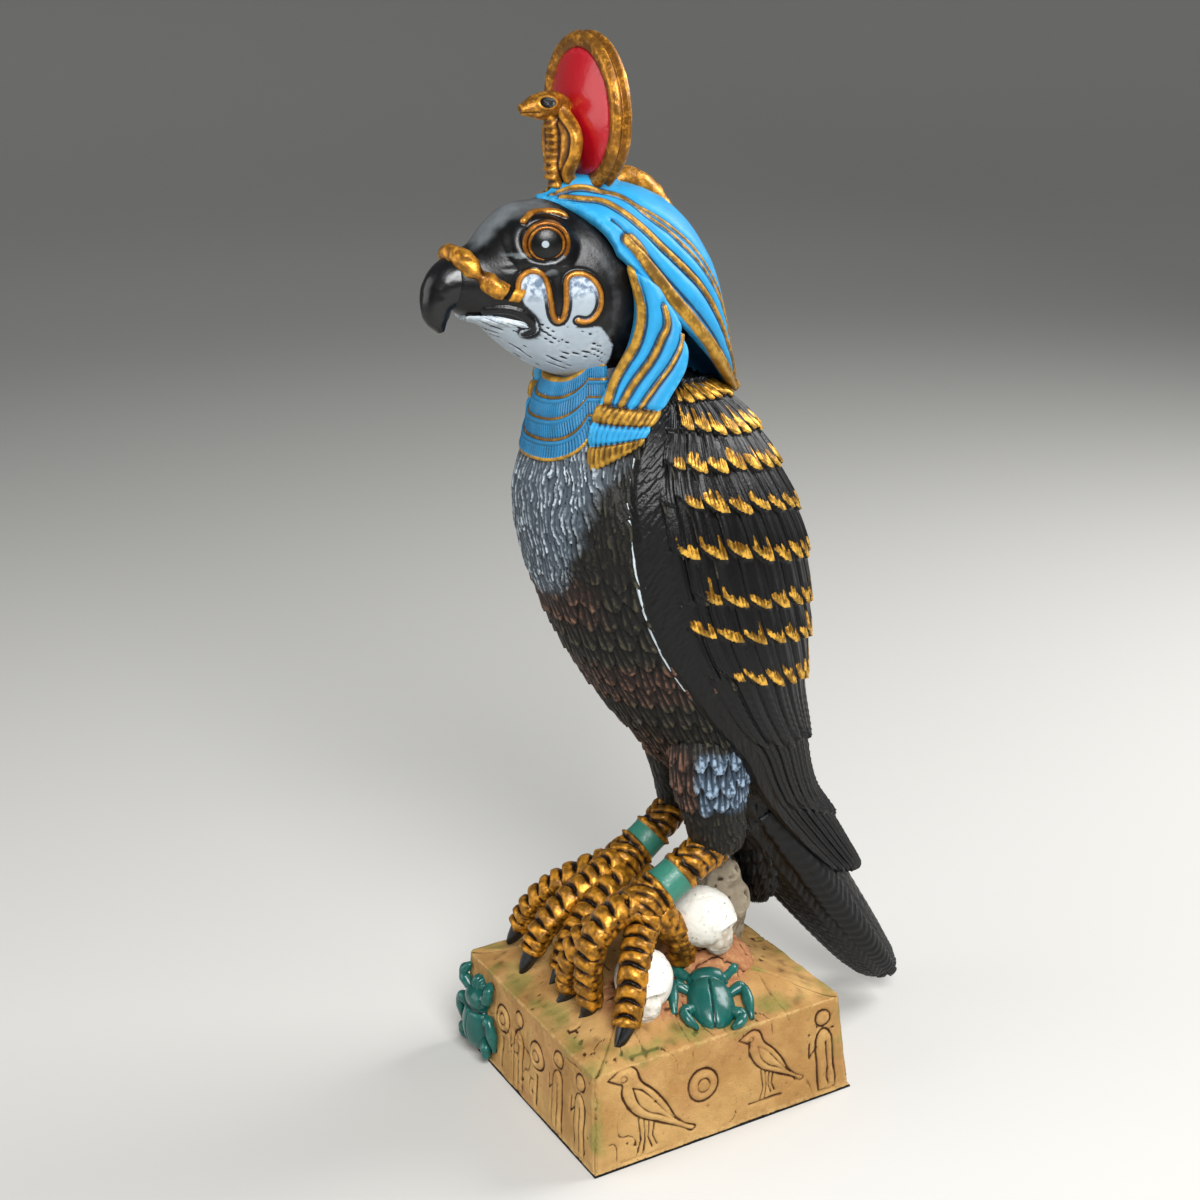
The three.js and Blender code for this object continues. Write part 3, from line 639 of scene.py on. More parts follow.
def gilding(name, light, middle, brown, grain_share):
    """Old gold with brown in its hollows, and black where the mark says so."""
    made, bench, shader = new_material(name, Metallic=0.55, Specular_IOR_Level=0.5)
    inputs = {"Light": colour(light), "Middle": colour(middle), "Brown": colour(brown), "Grain": grain_share}
    gold = bench.group(GOLD, inputs)
    height = bench.group(TOOTH, {"Coarse": 0.7, "Fine": 0.3})["Height"]
    connect(
        bench,
        shader,
        Base_Color=bench.blend(edge_of(bench, "black", 0.1), gold["Colour"], BLACK),
        Roughness=gold["Roughness"],
        Normal=bench.bump(height, 0.3),
    )
    return made


def gilded_skin():
    """The feet: gold scutes with near-black gaps, and a sea-green cuff between gold rings."""
    made, bench, shader = new_material("gilded feet", Specular_IOR_Level=0.5)
    inputs = {"Light": colour("#c98a25"), "Middle": colour("#8a5a14"), "Brown": colour("#160a02")}
    gold = bench.group(GOLD, {**inputs, "Wash depth": 0.22, "Grain": 1.5})
    cuff = edge_of(bench, "cuff", 0.1)
    green = paint(
        bench, colour("#2f7361"), colour("#0d3a35"), colour("#5c9d89"), Brush_height=0.3, Brush_amount=0.6
    )
    height = bench.group(TOOTH, {"Coarse": 0.6, "Fine": 0.3})["Height"]
    connect(
        bench,
        shader,
        Base_Color=bench.blend(cuff, gold["Colour"], green),
        Metallic=bench.rise(cuff, 0.0, 1.0, 0.55, 0.0),
        Roughness=gold["Roughness"],
        Normal=bench.bump(height, 0.25),
    )
    return made


def glossy(name, base, brush, roughness):
    """One glossy colour that is rubbed lighter on the ridges."""
    made, bench, shader = new_material(name, Roughness=roughness, Specular_IOR_Level=0.5)
    tone = paint(bench, colour(base), BLACK, colour(brush), Brush_height=0.4, Brush_amount=0.5)
    height = bench.group(TOOTH, {"Coarse": 0.5, "Fine": 0.1})["Height"]
    connect(bench, shader, Base_Color=tone, Normal=bench.bump(height, 0.15))
    return made


def sandstone():
    """Tan stone paint with pink ground, green moss by the creases, a brown wash in the carving, and a painted
    shadow in black along the bottom edge.
    """
    made, bench, shader = new_material("sandstone paint", Roughness=0.75, Specular_IOR_Level=0.25)
    warm = bench.blend(bench.rise(bench.noise(14.0, 5.0), 0.35, 0.65), colour("#a07844"), colour("#b8925a"))
    pink = bench.blend(bench.rise(bench.mark("pink"), 0.0, 1.0), warm, colour("#a06c48"))
    stone = paint(
        bench, pink, colour("#3a2009"), colour("#c6a46c"), Wash_depth=0.3, Brush_height=0.5, Brush_amount=0.5
    )
    spread = bench.sum(bench.mark("moss"), bench.rise(bench.noise(9.0, 5.0), 0.25, 0.75))
    moss = bench.rise(spread, 0.85, 1.55, 0.0, 0.65)
    green = bench.blend(moss, stone, colour("#6d7434"))
    specks = bench.rise(bench.noise(0.9, 2.0), 0.68, 0.74, 0.0, 0.5)
    speckled = bench.blend(specks, green, colour("#6b4524"))
    # Black from the mark, low on the sides: a painted shadow where the block meets the floor.
    with_floor_shadow = bench.blend(edge_of(bench, "base", 0.2), speckled, BLACK)
    height = bench.group(TOOTH, {"Coarse": 0.8, "Fine": 0.7})["Height"]
    connect(bench, shader, Base_Color=with_floor_shadow, Normal=bench.bump(height, 0.35))
    return made


def bone():
    """Off-white bone with brown specks and black sockets."""
    made, bench, shader = new_material("bone paint", Roughness=0.45, Specular_IOR_Level=0.4)
    white = paint(
        bench, colour("#d9d7ce"), colour("#6a5a45"), colour("#f3f2ec"), Wash_depth=0.5, Brush_height=0.4
    )
    # Brown-grey from the mark, darker towards each skull's underside and on its jaw.
    darkening_share = bench.rise(bench.sum(bench.mark("dirt"), bench.noise(2.0, 5.0)), 0.75, 1.3, 0.0, 0.8)
    darkened = bench.blend(darkening_share, white, colour("#8a775c"))
    specks = bench.rise(bench.noise(1.0, 3.0), 0.66, 0.72, 0.0, 0.7)
    specked = bench.blend(specks, darkened, colour("#5a4026"))
    dark = bench.blend(edge_of(bench, "black", 0.1), specked, BLACK)
    height = bench.group(TOOTH, {"Coarse": 0.6, "Fine": 0.3})["Height"]
    connect(bench, shader, Base_Color=dark, Normal=bench.bump(height, 0.3))
    return made


def rough_rock():
    made, bench, shader = new_material("rock paint", Roughness=0.8, Specular_IOR_Level=0.2)
    rock = paint(
        bench, colour("#857a68"), colour("#3a2f22"), colour("#b3a994"), Wash_depth=0.4, Brush_height=0.5
    )
    stains = bench.rise(bench.noise(4.0, 5.0), 0.5, 0.7, 0.0, 0.6)
    height = bench.group(TOOTH, {"Coarse": 0.9, "Fine": 0.8})["Height"]
    connect(
        bench,
        shader,
        Base_Color=bench.blend(stains, rock, colour("#5d4d38")),
        Normal=bench.bump(height, 0.5),
    )
    return made


PLUMAGE = dark_feathers()
BREAST = breast_feathers()
FACE = face_paint("face paint", 0.45)
HEADCLOTH = cloth_paint("headcloth paint", "#1f8cc0", "#08304c", "#49abd6")
COLLAR_PAINT = cloth_paint("collar paint", "#1a6b96", "#04202f", "#4a97be")
OLD_GOLD = gilding("old gold", "#d2932f", "#94601a", "#341a05", 1.0)
GILDED_SKIN = gilded_skin()
HORN = glossy("black horn", "#050506", "#22262a", 0.26)
EYE_PAINT = face_paint("eye paint", 0.05)
CRIMSON = glossy("crimson dome", "#a80d1c", "#c92a3a", 0.22)
SANDSTONE = sandstone()
BONE = bone()
ROCK_PAINT = rough_rock()
SCARAB_GREEN = glossy("scarab green", "#0b4d47", "#3d9687", 0.28)
print("finishes:", len(bpy.data.materials))

# %% [markdown]
# ## The bird's body
#
# Trunk and folded wings share one hull of level ellipses, given as height, middle in Y, half width and
# half depth. Feathers lie in overlapping rows, like roof tiles, so one function sorts every point of a
# skin into its feather. The part near a feather's tip stands highest, and the next row starts low
# beneath it, so each row casts a small shadow on the one below.

# %% Hull and feathers
HULL = [
    [38, 64.8, 6.4, 4],
    [46, 59, 9.4, 8],
    [55, 51.6, 12.4, 10.8],
    [65, 43, 15.4, 14],
    [76, 34, 18.4, 16.2],
    [85, 28.4, 21.4, 18.6],
    [98, 22.8, 25, 22.2],
    [112, 17, 28, 27],
    [128, 12.8, 30, 32.6],
    [143, 9.4, 30.6, 35.8],
    [154, 7, 30.4, 36.8],
    [164, 4.4, 29.6, 36],
    [173, 2.4, 27.6, 33.8],
    [184, 0.8, 23.6, 28.6],
    [192, -2, 18, 24],
    [199, -5, 14, 17.5],
    [208, -6, 11, 13],
]
TRUNK = {"bottom": 80, "top": 207, "tuck": 1.2}
hull_at = track(HULL)


def on_hull(z, angle, proud=0.0):
    """A point at a height and an angle from the bird's left side, standing proud of the hull."""
    middle, half_width, half_depth = np.moveaxis(hull_at(z), -1, 0)
    return points_of(
        (half_width + proud) * np.cos(angle), middle + (half_depth + proud) * np.sin(angle), z
    )


def feathers(across, down, droop=0.5, skew=0.0, ragged=0.1, seed=0):
    """Sorts points into overlapping rows of feathers. across counts feathers and down counts rows.

    The result holds how far a point lies above its feather's tip, in rows; its place across the
    feather from -1 to 1; and the feather's row and number."""
    row = np.floor(down) - 1
    for _ in range(3):
        back, side, number = feather_of(across, down, row, droop, skew, ragged, seed)
        row = np.where(back < 0, row + 1, row)
    back, side, number = feather_of(across, down, row, droop, skew, ragged, seed)
    return np.maximum(back, 0), side, row, number


def feather_of(across, down, row, droop, skew, ragged, seed):
    shifted = across + 0.5 * (row % 2)
    number = np.floor(shifted)
    side = 2 * (shifted - number) - 1
    own = 2 * lot(row, number, seed) - 1
    tip = row + 1 + droop * (1 - side**2) + skew * side + ragged * own
    return tip - down, side, number


# %% [markdown]
# ## Breast and thighs
#
# High on the breast the feathers are fine wavy locks. Lower down they become scales with a few grooves
# along each. Both use the feather rows, with narrow wavy lanes for the locks, and one fades into the
# other at the middle of the breast.

# %% Breast
SCALES = {"round": 36, "tall": 6.0, "locks": 150, "lock_tall": 6.6, "locks_above": (146, 158)}


def scale_relief(across, down, seed):
    """Small breast feathers: a raised tip, a fan of grooves along each, and low edges."""
    back, side, row, number = feathers(across, down, 0.5, 0.0, 0.16, seed)
    own = lot(row, number, seed + 1)
    lean = side + 0.5 * (own - 0.5) * back
    raised = 1.1 * (1 - back / 1.5) - 0.45 * side**2
    fan = 0.24 * np.cos(math.pi * (2.4 * lean * (1 + 0.5 * back) + 1.3 * own))
    return raised + fan + 0.25 * (own - 0.5)


def lock_relief(points, across, down, seed):
    """Narrow wavy locks that overlap, with a deep line between two of them."""
    wave = 1.5 * grain(points * [1, 1, 0.6], 5.5, seed) + 0.5 * grain(points, 2.6, seed + 1)
    back, side, row, number = feathers(across + wave, down, 0.8, 0.3, 0.4, seed + 2)
    own = lot(row, number, seed + 3)
    return 0.75 * np.sqrt(clamp(1 - side**2)) + 0.5 * (1 - back / 1.6) + 0.3 * (own - 0.5)


PALE_WIDTH = track([[140, 4], [146, 12], [152, 21], [160, 30], [170, 40], [180, 52], [190, 60]])


def breast_shape():
    def place(along, turn, share):
        share_round = turn / (2 * math.pi)
        angle = np.radians(np.interp(share_round, [0, 0.86, 1], [-196, 16, 164]))
        z = mix(TRUNK["bottom"], TRUNK["top"], along)
        middle, half_width, half_depth = np.moveaxis(hull_at(z), -1, 0)
        full = np.sqrt(smooth(-0.1, 0.12, along)) * share
        back = smooth(-0.2, 0.5, np.sin(angle)) * TRUNK["tuck"]
        points = points_of(
            full * (half_width - back) * np.cos(angle),
            middle + full * (half_depth - back) * np.sin(angle),
            z,
        )
        turned = angle / (2 * math.pi)
        down = TRUNK["top"] - z
        scales = scale_relief(turned * SCALES["round"], down / SCALES["tall"], 11)
        locks = lock_relief(points, turned * SCALES["locks"], down / SCALES["lock_tall"], 3)
        front = np.abs(np.degrees(angle) + 90)
        side_on = 0.22 * np.minimum(front, 70) + 3 * grain(points, 9.0, 5)
        fine = smooth(*SCALES["locks_above"], z - side_on + 8)
        shown = smooth(118, 104, front) * smooth(201, 196, z)
        height = mix(scales, locks, fine) * share * shown
        width = PALE_WIDTH(z)[..., 0]
        pale = smooth(width + 12, width - 12, front) * smooth(143, 149, z)
        patch = smooth(13, 3, np.abs(z - 145)) * smooth(46, 16, front)
        belt = smooth(9, 2, np.abs(z - 120 - 0.05 * front)) * smooth(95, 55, front)
        low = smooth(112, 98, z) * smooth(60, 25, front) * 0.7
        brown = np.maximum(np.maximum(patch, belt), low)
        return points, height, {"pale": pale, "brown": brown, "blue": 0.0}

    return tube("breast", 400, 340, place)


piece("breast", breast_shape(), BREAST, "falcon", 130)

# %% Thighs
SHANKS = {
    "left": [
        [10, 13, 118, 5],
        [13.4, 11.4, 105, 9.4],
        [15.8, 10.7, 92, 9.8],
        [16.6, 11.4, 82, 8],
        [16.6, 12.6, 74, 6.8],
        [16.6, 12.4, 70.6, 5],
    ],
    "right": [
        [-10, 17, 118, 5],
        [-13.6, 18, 104, 9.4],
        [-15.8, 19.8, 90, 9.4],
        [-16.4, 21.2, 79, 7.6],
        [-16.4, 21.4, 71, 6.4],
        [-16.4, 21, 67.4, 4.6],
    ],
}


def thigh_shape(name, rows, hand):
    follow, at = limb(rows)

    def place(along, angle, share):
        middle_x, middle_y, _, radius = np.moveaxis(at(along), -1, 0)
        points = follow(along, angle, share * radius * 0.94, share * radius)
        scales = scale_relief(angle / (2 * math.pi) * 13, along * 10, 23)
        locks = lock_relief(points, angle / (2 * math.pi) * 34, along * 9, 31)
        z = points[:, 2]
        shank = smooth(86, 80, z)
        height = mix(scales, 0.8 * locks, shank) * share * smooth(0.06, 0.3, along)
        turned = np.degrees(np.arctan2(points[:, 1] - middle_y, hand * (points[:, 0] - middle_x)))
        ragged = 6 * grain(points, 4.0, 37)
        middle = smooth(83, 87, z + 0.3 * ragged) * smooth(106, 98, z)
        brown = middle * smooth(-38, -62, turned + ragged) * smooth(-150, -120, turned)
        blue = smooth(82, 86, z + 0.3 * ragged) * smooth(103, 97, z) * smooth(-62, -38, turned + ragged)
        blue = blue * smooth(125, 90, turned)
        return points, height, {"pale": 0.0, "brown": brown, "blue": blue}

    return tube(name, 150, 120, place)


for side, hand in (("left", 1), ("right", -1)):
    name = f"thigh_{side}"
    piece(name, thigh_shape(name, SHANKS[side], hand), BREAST, "falcon", 20)

# %% [markdown]
# ## Wings
#
# A folded wing is a leaf wrapped on the hull. Its rows of feathers have measured ends, at the wing's
# front edge and at the spine. Eight rows carry gold tips with a jagged upper edge, and below them the
# long flight feathers run down to the wing's tip.

# %% Wings
WING_ROWS = [
    [198, 194],
    [194, 190.3],
    [189, 180.6],
    [182, 170],
    [174, 157.4],
    [162.5, 144.6],
    [150.5, 131],
    [141, 120.4],
    [129, 109.7],
    [109, 92],
    [84.6, 64.6],
    [49, 41],
]
WING_EDGE = [
    [41, 40],
    [46, 0],
    [54, -14],
    [77, -16],
    [89, -19],
    [98, -21],
    [109, -28],
    [118, -32.5],
    [130, -37.5],
    [144, -39],
    [164, -36],
    [182, -30],
    [192, -12],
    [197, 0],
]
WING = {
    "thickness": 4,
    "proud": 0.9,
    "spine_gap": 0.8,
    "tip_gap": 2.5,
    "feathers": 10,
    "band": 0.13,
    "width": 55,
    "white": 0.85,
}
GOLD_ROWS = 8
STREAKS = 7
row_heights = track(evenly(WING_ROWS))
edge_at = track(WING_EDGE)


def wing_shape(name, hand):
    steps = len(WING_ROWS) - 1

    def place(across, along, depth):
        front, back_end = np.moveaxis(row_heights(along), -1, 0)
        z = mix(front, back_end, across)
        gap = mix(WING["spine_gap"], WING["tip_gap"], smooth(0.5, 0.8, along))
        angle = np.radians(mix(edge_at(z)[:, 0], 90 - gap, across))
        points = on_hull(z, angle, mix(WING["proud"], -WING["thickness"], depth))
        later = mix(*np.moveaxis(row_heights(along + 0.01), -1, 0), across)
        pitch = np.abs(later - z) / (0.01 * steps)
        lane = (across - WING["band"]) / (1 - WING["band"]) * WING["feathers"]
        down = along * steps
        back, side, row, number = feathers(lane, down, 0.1, 0.12, 0.06, 41)
        own = lot(row, number, 43)
        behind = back * pitch
        flight = smooth(8.0, 9.0, down)
        raised = 1.5 * (1 - back / 1.25) - 0.5 * side**2 - 0.4 * smooth(0.8, 1.0, np.abs(side))
        lines = 0.17 * np.cos(math.pi * (STREAKS * side + own)) * smooth(9, 1, behind)
        furrow = 0.12 * np.cos(math.pi * (2.2 * side + 2 * own)) * smooth(1, 5, behind)
        barbs = 0.13 * np.sin(2 * math.pi * (behind + 3.6 * np.abs(side)) / 1.9)
        shaft = bead(np.abs(side), 0.12, 0.3) * flight
        height = raised + mix(lines + furrow, barbs + 0.5 * furrow, flight) + shaft
        rim = across * WING["width"]
        hair, hair_side, hair_row, hair_number = feathers(
            (rim - 0.7 * z) / 1.3, (-z - 0.7 * rim) / 4.5, 0.6, 0.0, 0.4, 47
        )
        fuzz = 0.32 * np.sqrt(clamp(1 - hair_side**2)) + 0.2 * lot(hair_row, hair_number, 48) - 0.1 * hair
        band = smooth(WING["band"] + 0.03, WING["band"] - 0.03, across)
        height = mix(height, (fuzz + 0.3) * smooth(0.8, 2.6, rim), band)
        streak = np.floor((side + 1) * STREAKS / 2)
        reach = lot(row, number, streak, 53)
        tall = 1.9 + 2.3 * reach + 3.2 * smooth(0.9, 0.97, reach) * smooth(0.4, 0.6, own)
        gold = np.minimum(tall - 1.2 * np.abs(side) ** 3 - behind, (0.93 - np.abs(side)) * 6)
        gold = np.minimum(gold, (across - WING["band"] - 0.05 - 0.05 * np.sin(3 * row)) * 40)
        gilded_row = (row >= 0) & (row < GOLD_ROWS)
        gold = np.where(gilded_row & (depth < 0.4), gold, -3)
        uneven = 0.18 * grain(points, 2.0, 59)
        white = np.minimum(WING["white"] - rim + uneven, np.minimum(z - 119, 184 - z) * 0.1)
        white = np.where(depth < 0.62, white, -3)
        points[:, 0] *= hand
        return points, height, {"gold": gold, "white": white}

    return leaf(name, 300, 370, (0.015, 0.012), place)


for side, hand, most in (("left", 1, 150), ("right", -1, 76)):
    name = f"wing_{side}"
    piece(name, wing_shape(name, hand), PLUMAGE, "falcon", most)

# %% [markdown]
# ## Tail
#
# Long feathers lie side by side, with the middle one on top. Under them a wedge of short black
# feathers runs down to the rock, which is what holds the casting's tail up.

# %% Tail
TAIL = [
    [33, 74, 12, 12.4],
    [46, 55, 12.6, 11.6],
    [56.6, 38.6, 12.4, 9.8],
    [67.6, 22.8, 11.8, 8],
    [75.8, 11.6, 10, 6],
    [79, 8, 7.6, 4.2],
]
COVERTS = [
    [0, 24, 94, 13, 12],
    [0, 31, 78, 12, 11],
    [0, 36, 62, 9.6, 8.4],
    [0, 36, 50, 7, 6.4],
    [0, 34.6, 42.4, 4, 3.6],
]
TAIL_FEATHERS = 3.3


def tail_shape():
    at = track(evenly(TAIL))
    run = unit(np.array([TAIL[4][0] - TAIL[0][0], TAIL[4][1] - TAIL[0][1]], float))

    def place(along, angle, share):
        y, z, half_width, half_depth = np.moveaxis(at(along), -1, 0)
        across = np.cos(angle) * share
        up = np.sin(angle) * share
        roof = half_depth * up * (1 - np.where(up > 0, 0.35, 0.15) * np.abs(across))
        points = points_of(half_width * across, y - run[1] * roof, z + run[0] * roof)
        lane = np.abs(across) * TAIL_FEATHERS + 0.15 * np.sin(5 * along)
        feather = np.floor(lane)
        part = lane - feather
        layered = 0.3 * (TAIL_FEATHERS - lane) / TAIL_FEATHERS + 0.9 * (1 - part)
        shaft = bead(part - 0.45, 0.09, 0.25)
        barbs = 0.1 * np.sin(2 * math.pi * (along * 30 + 2.4 * np.abs(part - 0.45)))
        notch = -1.2 * smooth(0.02, 0.0, np.abs(along - 0.93 + 0.035 * feather)) * (np.abs(across) < 0.97)
        return points, (layered + shaft + barbs + notch) * share, {"gold": -3.0, "white": -3.0}

    return tube("tail", 170, 200, place)


def coverts_shape():
    follow, at = limb(COVERTS)

    def place(along, angle, share):
        points = follow(along, angle, share * at(along)[:, 3], share * at(along)[:, 4])
        height = scale_relief(angle / (2 * math.pi) * 14, along * 9, 61) * share
        return points, height, {"gold": -3.0, "white": -3.0}

    return tube("under_tail", 110, 90, place)


piece("tail", tail_shape(), PLUMAGE, "falcon", 34)
piece("under_tail", coverts_shape(), PLUMAGE, "falcon", 10)

# %% [markdown]
# ## Head
#
# The head is one skin of sections along the beak's direction. The gold lines are raised beads, so they
# are modelled: each is a curved line, and points near it stand out. The white chin is only paint, so it
# is a mark, apart from the fine strokes that were scratched into it.

# %% Head
HEAD = [
    [-50, 228.5, 219.5, 4.4],
    [-48, 231.4, 217.6, 6],
    [-43, 233.6, 215, 7.8],
    [-38, 238.6, 210, 10],
    [-33, 241.6, 205.8, 12],
    [-26, 242.2, 201.4, 14.8],
    [-16, 243.4, 197.6, 17.6],
    [-4, 243, 196, 18.6],
    [6, 238, 198, 16.5],
    [12, 230, 204, 11],
]
EYE = {"x": 12.2, "y": -29.6, "z": 233.3, "ring": 5.1, "wire": 0.5, "turn": 20, "ball": 4.35, "bulge": 2.2}
# Lines on the bird's left side, as [Y, Z] or [X, Y, Z]. The right side mirrors them.
CHEEK_LINE = [
    [-36.6, 222.6],
    [-36.2, 225.2],
    [-34.6, 227],
    [-32.5, 227.2],
    [-30.9, 226.2],
    [-30.1, 224],
    [-29.6, 220.6],
    [-29, 217],
    [-27.9, 215.3],
    [-26.7, 216],
    [-26.2, 218.8],
    [-26.1, 222.2],
    [-25.9, 224.6],
    [-24.9, 225.9],
    [-22.9, 226.2],
    [-20.6, 225.3],
    [-18.8, 223],
    [-18.2, 220.2],
    [-18.6, 217.5],
    [-20, 215.4],
    [-21.8, 214.7],
    [-23.4, 215.2],
]
BROW_LINE = [
    [7, -32.6, 237.6],
    [6.2, -29.9, 239.4],
    [6.6, -26.4, 240],
    [8.8, -23.2, 239.6],
    [13, -21.5, 238.2],
    [15.7, -20, 236.2],
    [16.3, -18, 233.7],
]
WHITE_AREA = [
    [-50, 217],
    [-41.4, 216.9],
    [-37.5, 216],
    [-34.2, 214.2],
    [-32.5, 213.4],
    [-32.2, 215.6],
    [-33.6, 218],
    [-35.6, 220.4],
    *CHEEK_LINE,
    [-23.8, 213.4],
    [-21.4, 213.3],
    [-18.3, 213.4],
    [-16.4, 211.2],
    [-14.6, 208.4],
    [-14.4, 204.9],
    [-15.6, 201],
    [-18.5, 197.5],
    [-30, 194],
    [-46, 200],
    [-54, 212],
]
LIP_LINE = [[-43, 218.4], [-39, 218.6], [-36, 217.6], [-33.4, 215.4], [-32.7, 213.2], [-34.4, 212.6]]


def stroke_lines(slope, rise, seed):
    """1 in the middle of fine broken strokes that run along the slope, in mm."""
    back, side, row, number = feathers(rise / 1.2 + 0.3 * np.sin(slope / 3), slope / 6.5, 0.3, 0.0, 0.5, seed)
    drawn = lot(row, number, seed + 1) > 0.35
    return smooth(0.62, 0.95, np.abs(side)) * smooth(0.0, 0.3, back) * smooth(1.15, 0.7, back) * drawn


def head_shape():
    at = track(HEAD)

    def place(along, angle, share):
        y = mix(HEAD[0][0], HEAD[-1][0], along)
        top, under, half_width = np.moveaxis(at(y), -1, 0)
        points = points_of(
            share * half_width * np.cos(angle),
            y,
            (top + under) / 2 + share * (top - under) * np.sin(angle) / 2,
        )
        flat = points[:, 1:]
        mirrored = np.abs(points) * [1, 0, 0] + points * [0, 1, 1]
        side_on = smooth(0.2, 0.5, np.abs(np.cos(angle)))
        cheek, _ = to_line(flat, curved(CHEEK_LINE, 3))
        brow, _ = to_line(mirrored, curved(BROW_LINE, 3))
        lip, _ = to_line(flat, curved(LIP_LINE, 3))
        eye = np.linalg.norm((flat - [EYE["y"] - 0.4, EYE["z"]]) * [0.92, 1.05], axis=-1)
        area = inside(flat, WHITE_AREA)
        white = np.where(area > -3, area, -3)
        gold = np.maximum(0.62 - cheek, 0.95 - brow)
        gold = np.where(side_on > 0.5, gold, -3)
        slope = flat @ np.array([0.87, -0.5])
        rise = flat @ np.array([0.5, 0.87])
        strokes = stroke_lines(slope, rise, 71)
        chin = smooth(0.3, 1.5, white) * smooth(216.5, 213, points[:, 2] + 0.25 * (y + 30))
        height = bead(cheek, 0.62, 0.55) + bead(brow, 0.95, 0.75)
        height = height + dent(np.abs(cheek - 0.95), 0.3, 0.22) + dent(np.abs(brow - 1.3), 0.35, 0.2)
        height = height + bead(lip, 1.0, 0.7)
        height = height * side_on - chin * 0.42 * strokes
        height = height + 1.0 * smooth(8.0, 5.2, eye) * smooth(3.0, 5.0, eye)
        wisps = grain(points_of(flat[:, 0] / 3.2, flat[:, 1] / 0.8, 0), 1.0, 73)
        under_eye = smooth(4.5, 1.5, np.linalg.norm((flat - [-33, 228.9]) * [0.45, 1], axis=-1))
        height = height + 0.08 * under_eye * wisps
        # Grey where the forehead faces up is a painted reflection; under the eye it follows the brushed
        # wisps.
        crown_sheen = smooth(0.78, 0.97, np.sin(angle)) * smooth(-20, -30, y) * smooth(-46, -41, y)
        grey = np.maximum(0.75 * crown_sheen, 0.9 * under_eye * smooth(0.2, 0.6, wisps))
        band = smooth(1.4, 0.5, np.abs(np.linalg.norm((flat - [-28, 219]) * [1, 0.8], axis=-1) - 13.5))
        grey = np.maximum(grey, 0.25 * band * smooth(-16, -13, y + 8))
        lobes = smooth(218, 224, points[:, 2])
        white = np.minimum(np.where(side_on > 0.2, white, area), lip - 0.8)
        marks = {"white": white, "gold": gold, "grey": grey, "blue": lobes}
        return points, height * smooth(0, 1, share), marks

    return tube("head", 330, 210, place)


# %% Eyes
def spun(profile, steps):
    """A solid of revolution about Z from [radius, height] rows that start and end on the axis."""
    bm = bmesh.new()
    verts = [bm.verts.new((r, 0, h)) for r, h in profile]
    edges = [bm.edges.new(pair) for pair in zip(verts[:-1], verts[1:])]
    bmesh.ops.spin(
        bm,
        geom=verts + edges,
        axis=(0, 0, 1),
        cent=(0, 0, 0),
        angle=2 * math.pi,
        steps=steps,
        use_merge=True,
        use_duplicate=False,
    )
    bmesh.ops.remove_doubles(bm, verts=bm.verts, dist=1e-4)
    bmesh.ops.recalc_face_normals(bm, faces=bm.faces)
    return bm


def eye_mesh(side):
    """A domed eyeball in a double raised ring, with a painted spot of light."""
    arc = np.linspace(0, math.pi, 9)
    wire, ball = EYE["wire"], EYE["ball"]
    ring = [[EYE["ring"] - wire * math.cos(a), 0.2 + 1.2 * wire * math.sin(a)] for a in arc]
    inner = [[EYE["ring"] - 2.2 * wire * (1 + 0.4 * math.cos(a)), 0.1 + 0.4 * math.sin(a)] for a in arc[::2]]
    radii = np.linspace(0, ball - 0.6, 18)
    dome = [[r, EYE["bulge"] * math.sqrt(1 - (r / (ball + 0.3)) ** 2) - 0.7] for r in radii]
    profile = [*dome, *inner, *ring, [EYE["ring"] + 0.8, -1.2], [0, -3.0]]
    bm = spun(profile, 64)
    mesh = bpy.data.meshes.new("eye")
    bm.to_mesh(mesh)
    bm.free()
    local = read(mesh)
    radius = np.hypot(local[:, 0], local[:, 1])
    gold = np.maximum(wire - np.abs(radius - EYE["ring"]), 0.3 - np.abs(radius - EYE["ring"] + 2.2 * wire))
    dot = 0.85 - np.hypot(local[:, 0] + 0.4, local[:, 1] - 0.1)
    turn = math.radians(EYE["turn"])
    out = np.array([math.cos(turn), -math.sin(turn), 0])
    back = np.array([math.sin(turn), math.cos(turn), 0])
    up = np.array([0, 0, 0.93])
    middle = np.array([EYE["x"] + 0.2, EYE["y"], EYE["z"]])
    points = middle + local[:, :1] * back + local[:, 1:2] * up + local[:, 2:] * out
    points[:, 0] *= side
    write(mesh, points * MM)
    if side < 0:
        mesh.flip_normals()
    put_mark(mesh, "gold", gold)
    put_mark(mesh, "white", np.where(local[:, 2] > 0, dot, -1))
    put_mark(mesh, "grey", 0)
    put_mark(mesh, "blue", 0)
    record_relief(mesh, 4)
    return mesh


piece("head", head_shape(), FACE, "falcon", 76)
for side, hand in (("left", 1), ("right", -1)):
    piece(f"eye_{side}", eye_mesh(hand), EYE_PAINT, "falcon", 8)

# %% Beak
BEAK = [
    [-43, 225, 6.6, 7],
    [-48, 224.4, 6.5, 5.8],
    [-51, 222.6, 5.4, 4.7],
    [-52.6, 219.6, 4, 3.7],
    [-52.6, 216.6, 3, 2.6],
    [-51.8, 213.6, 0.9, 0.8],
]
JAW = [[-33, 214.6, 2.6, 10.5], [-41, 216.2, 2.2, 7.4], [-46.5, 217.2, 1.3, 3.6]]
CERE = [
    [10.6, -35.6, 221.6, 1.5],
    [9.8, -38.4, 222.4, 1.9],
    [8.6, -41.2, 223.9, 2.4],
    [7, -44, 226.6, 2.6],
    [5.2, -46, 229.2, 2.5],
    [2.8, -47.6, 231, 2.3],
    [0, -48.2, 231.6, 2.1],
]


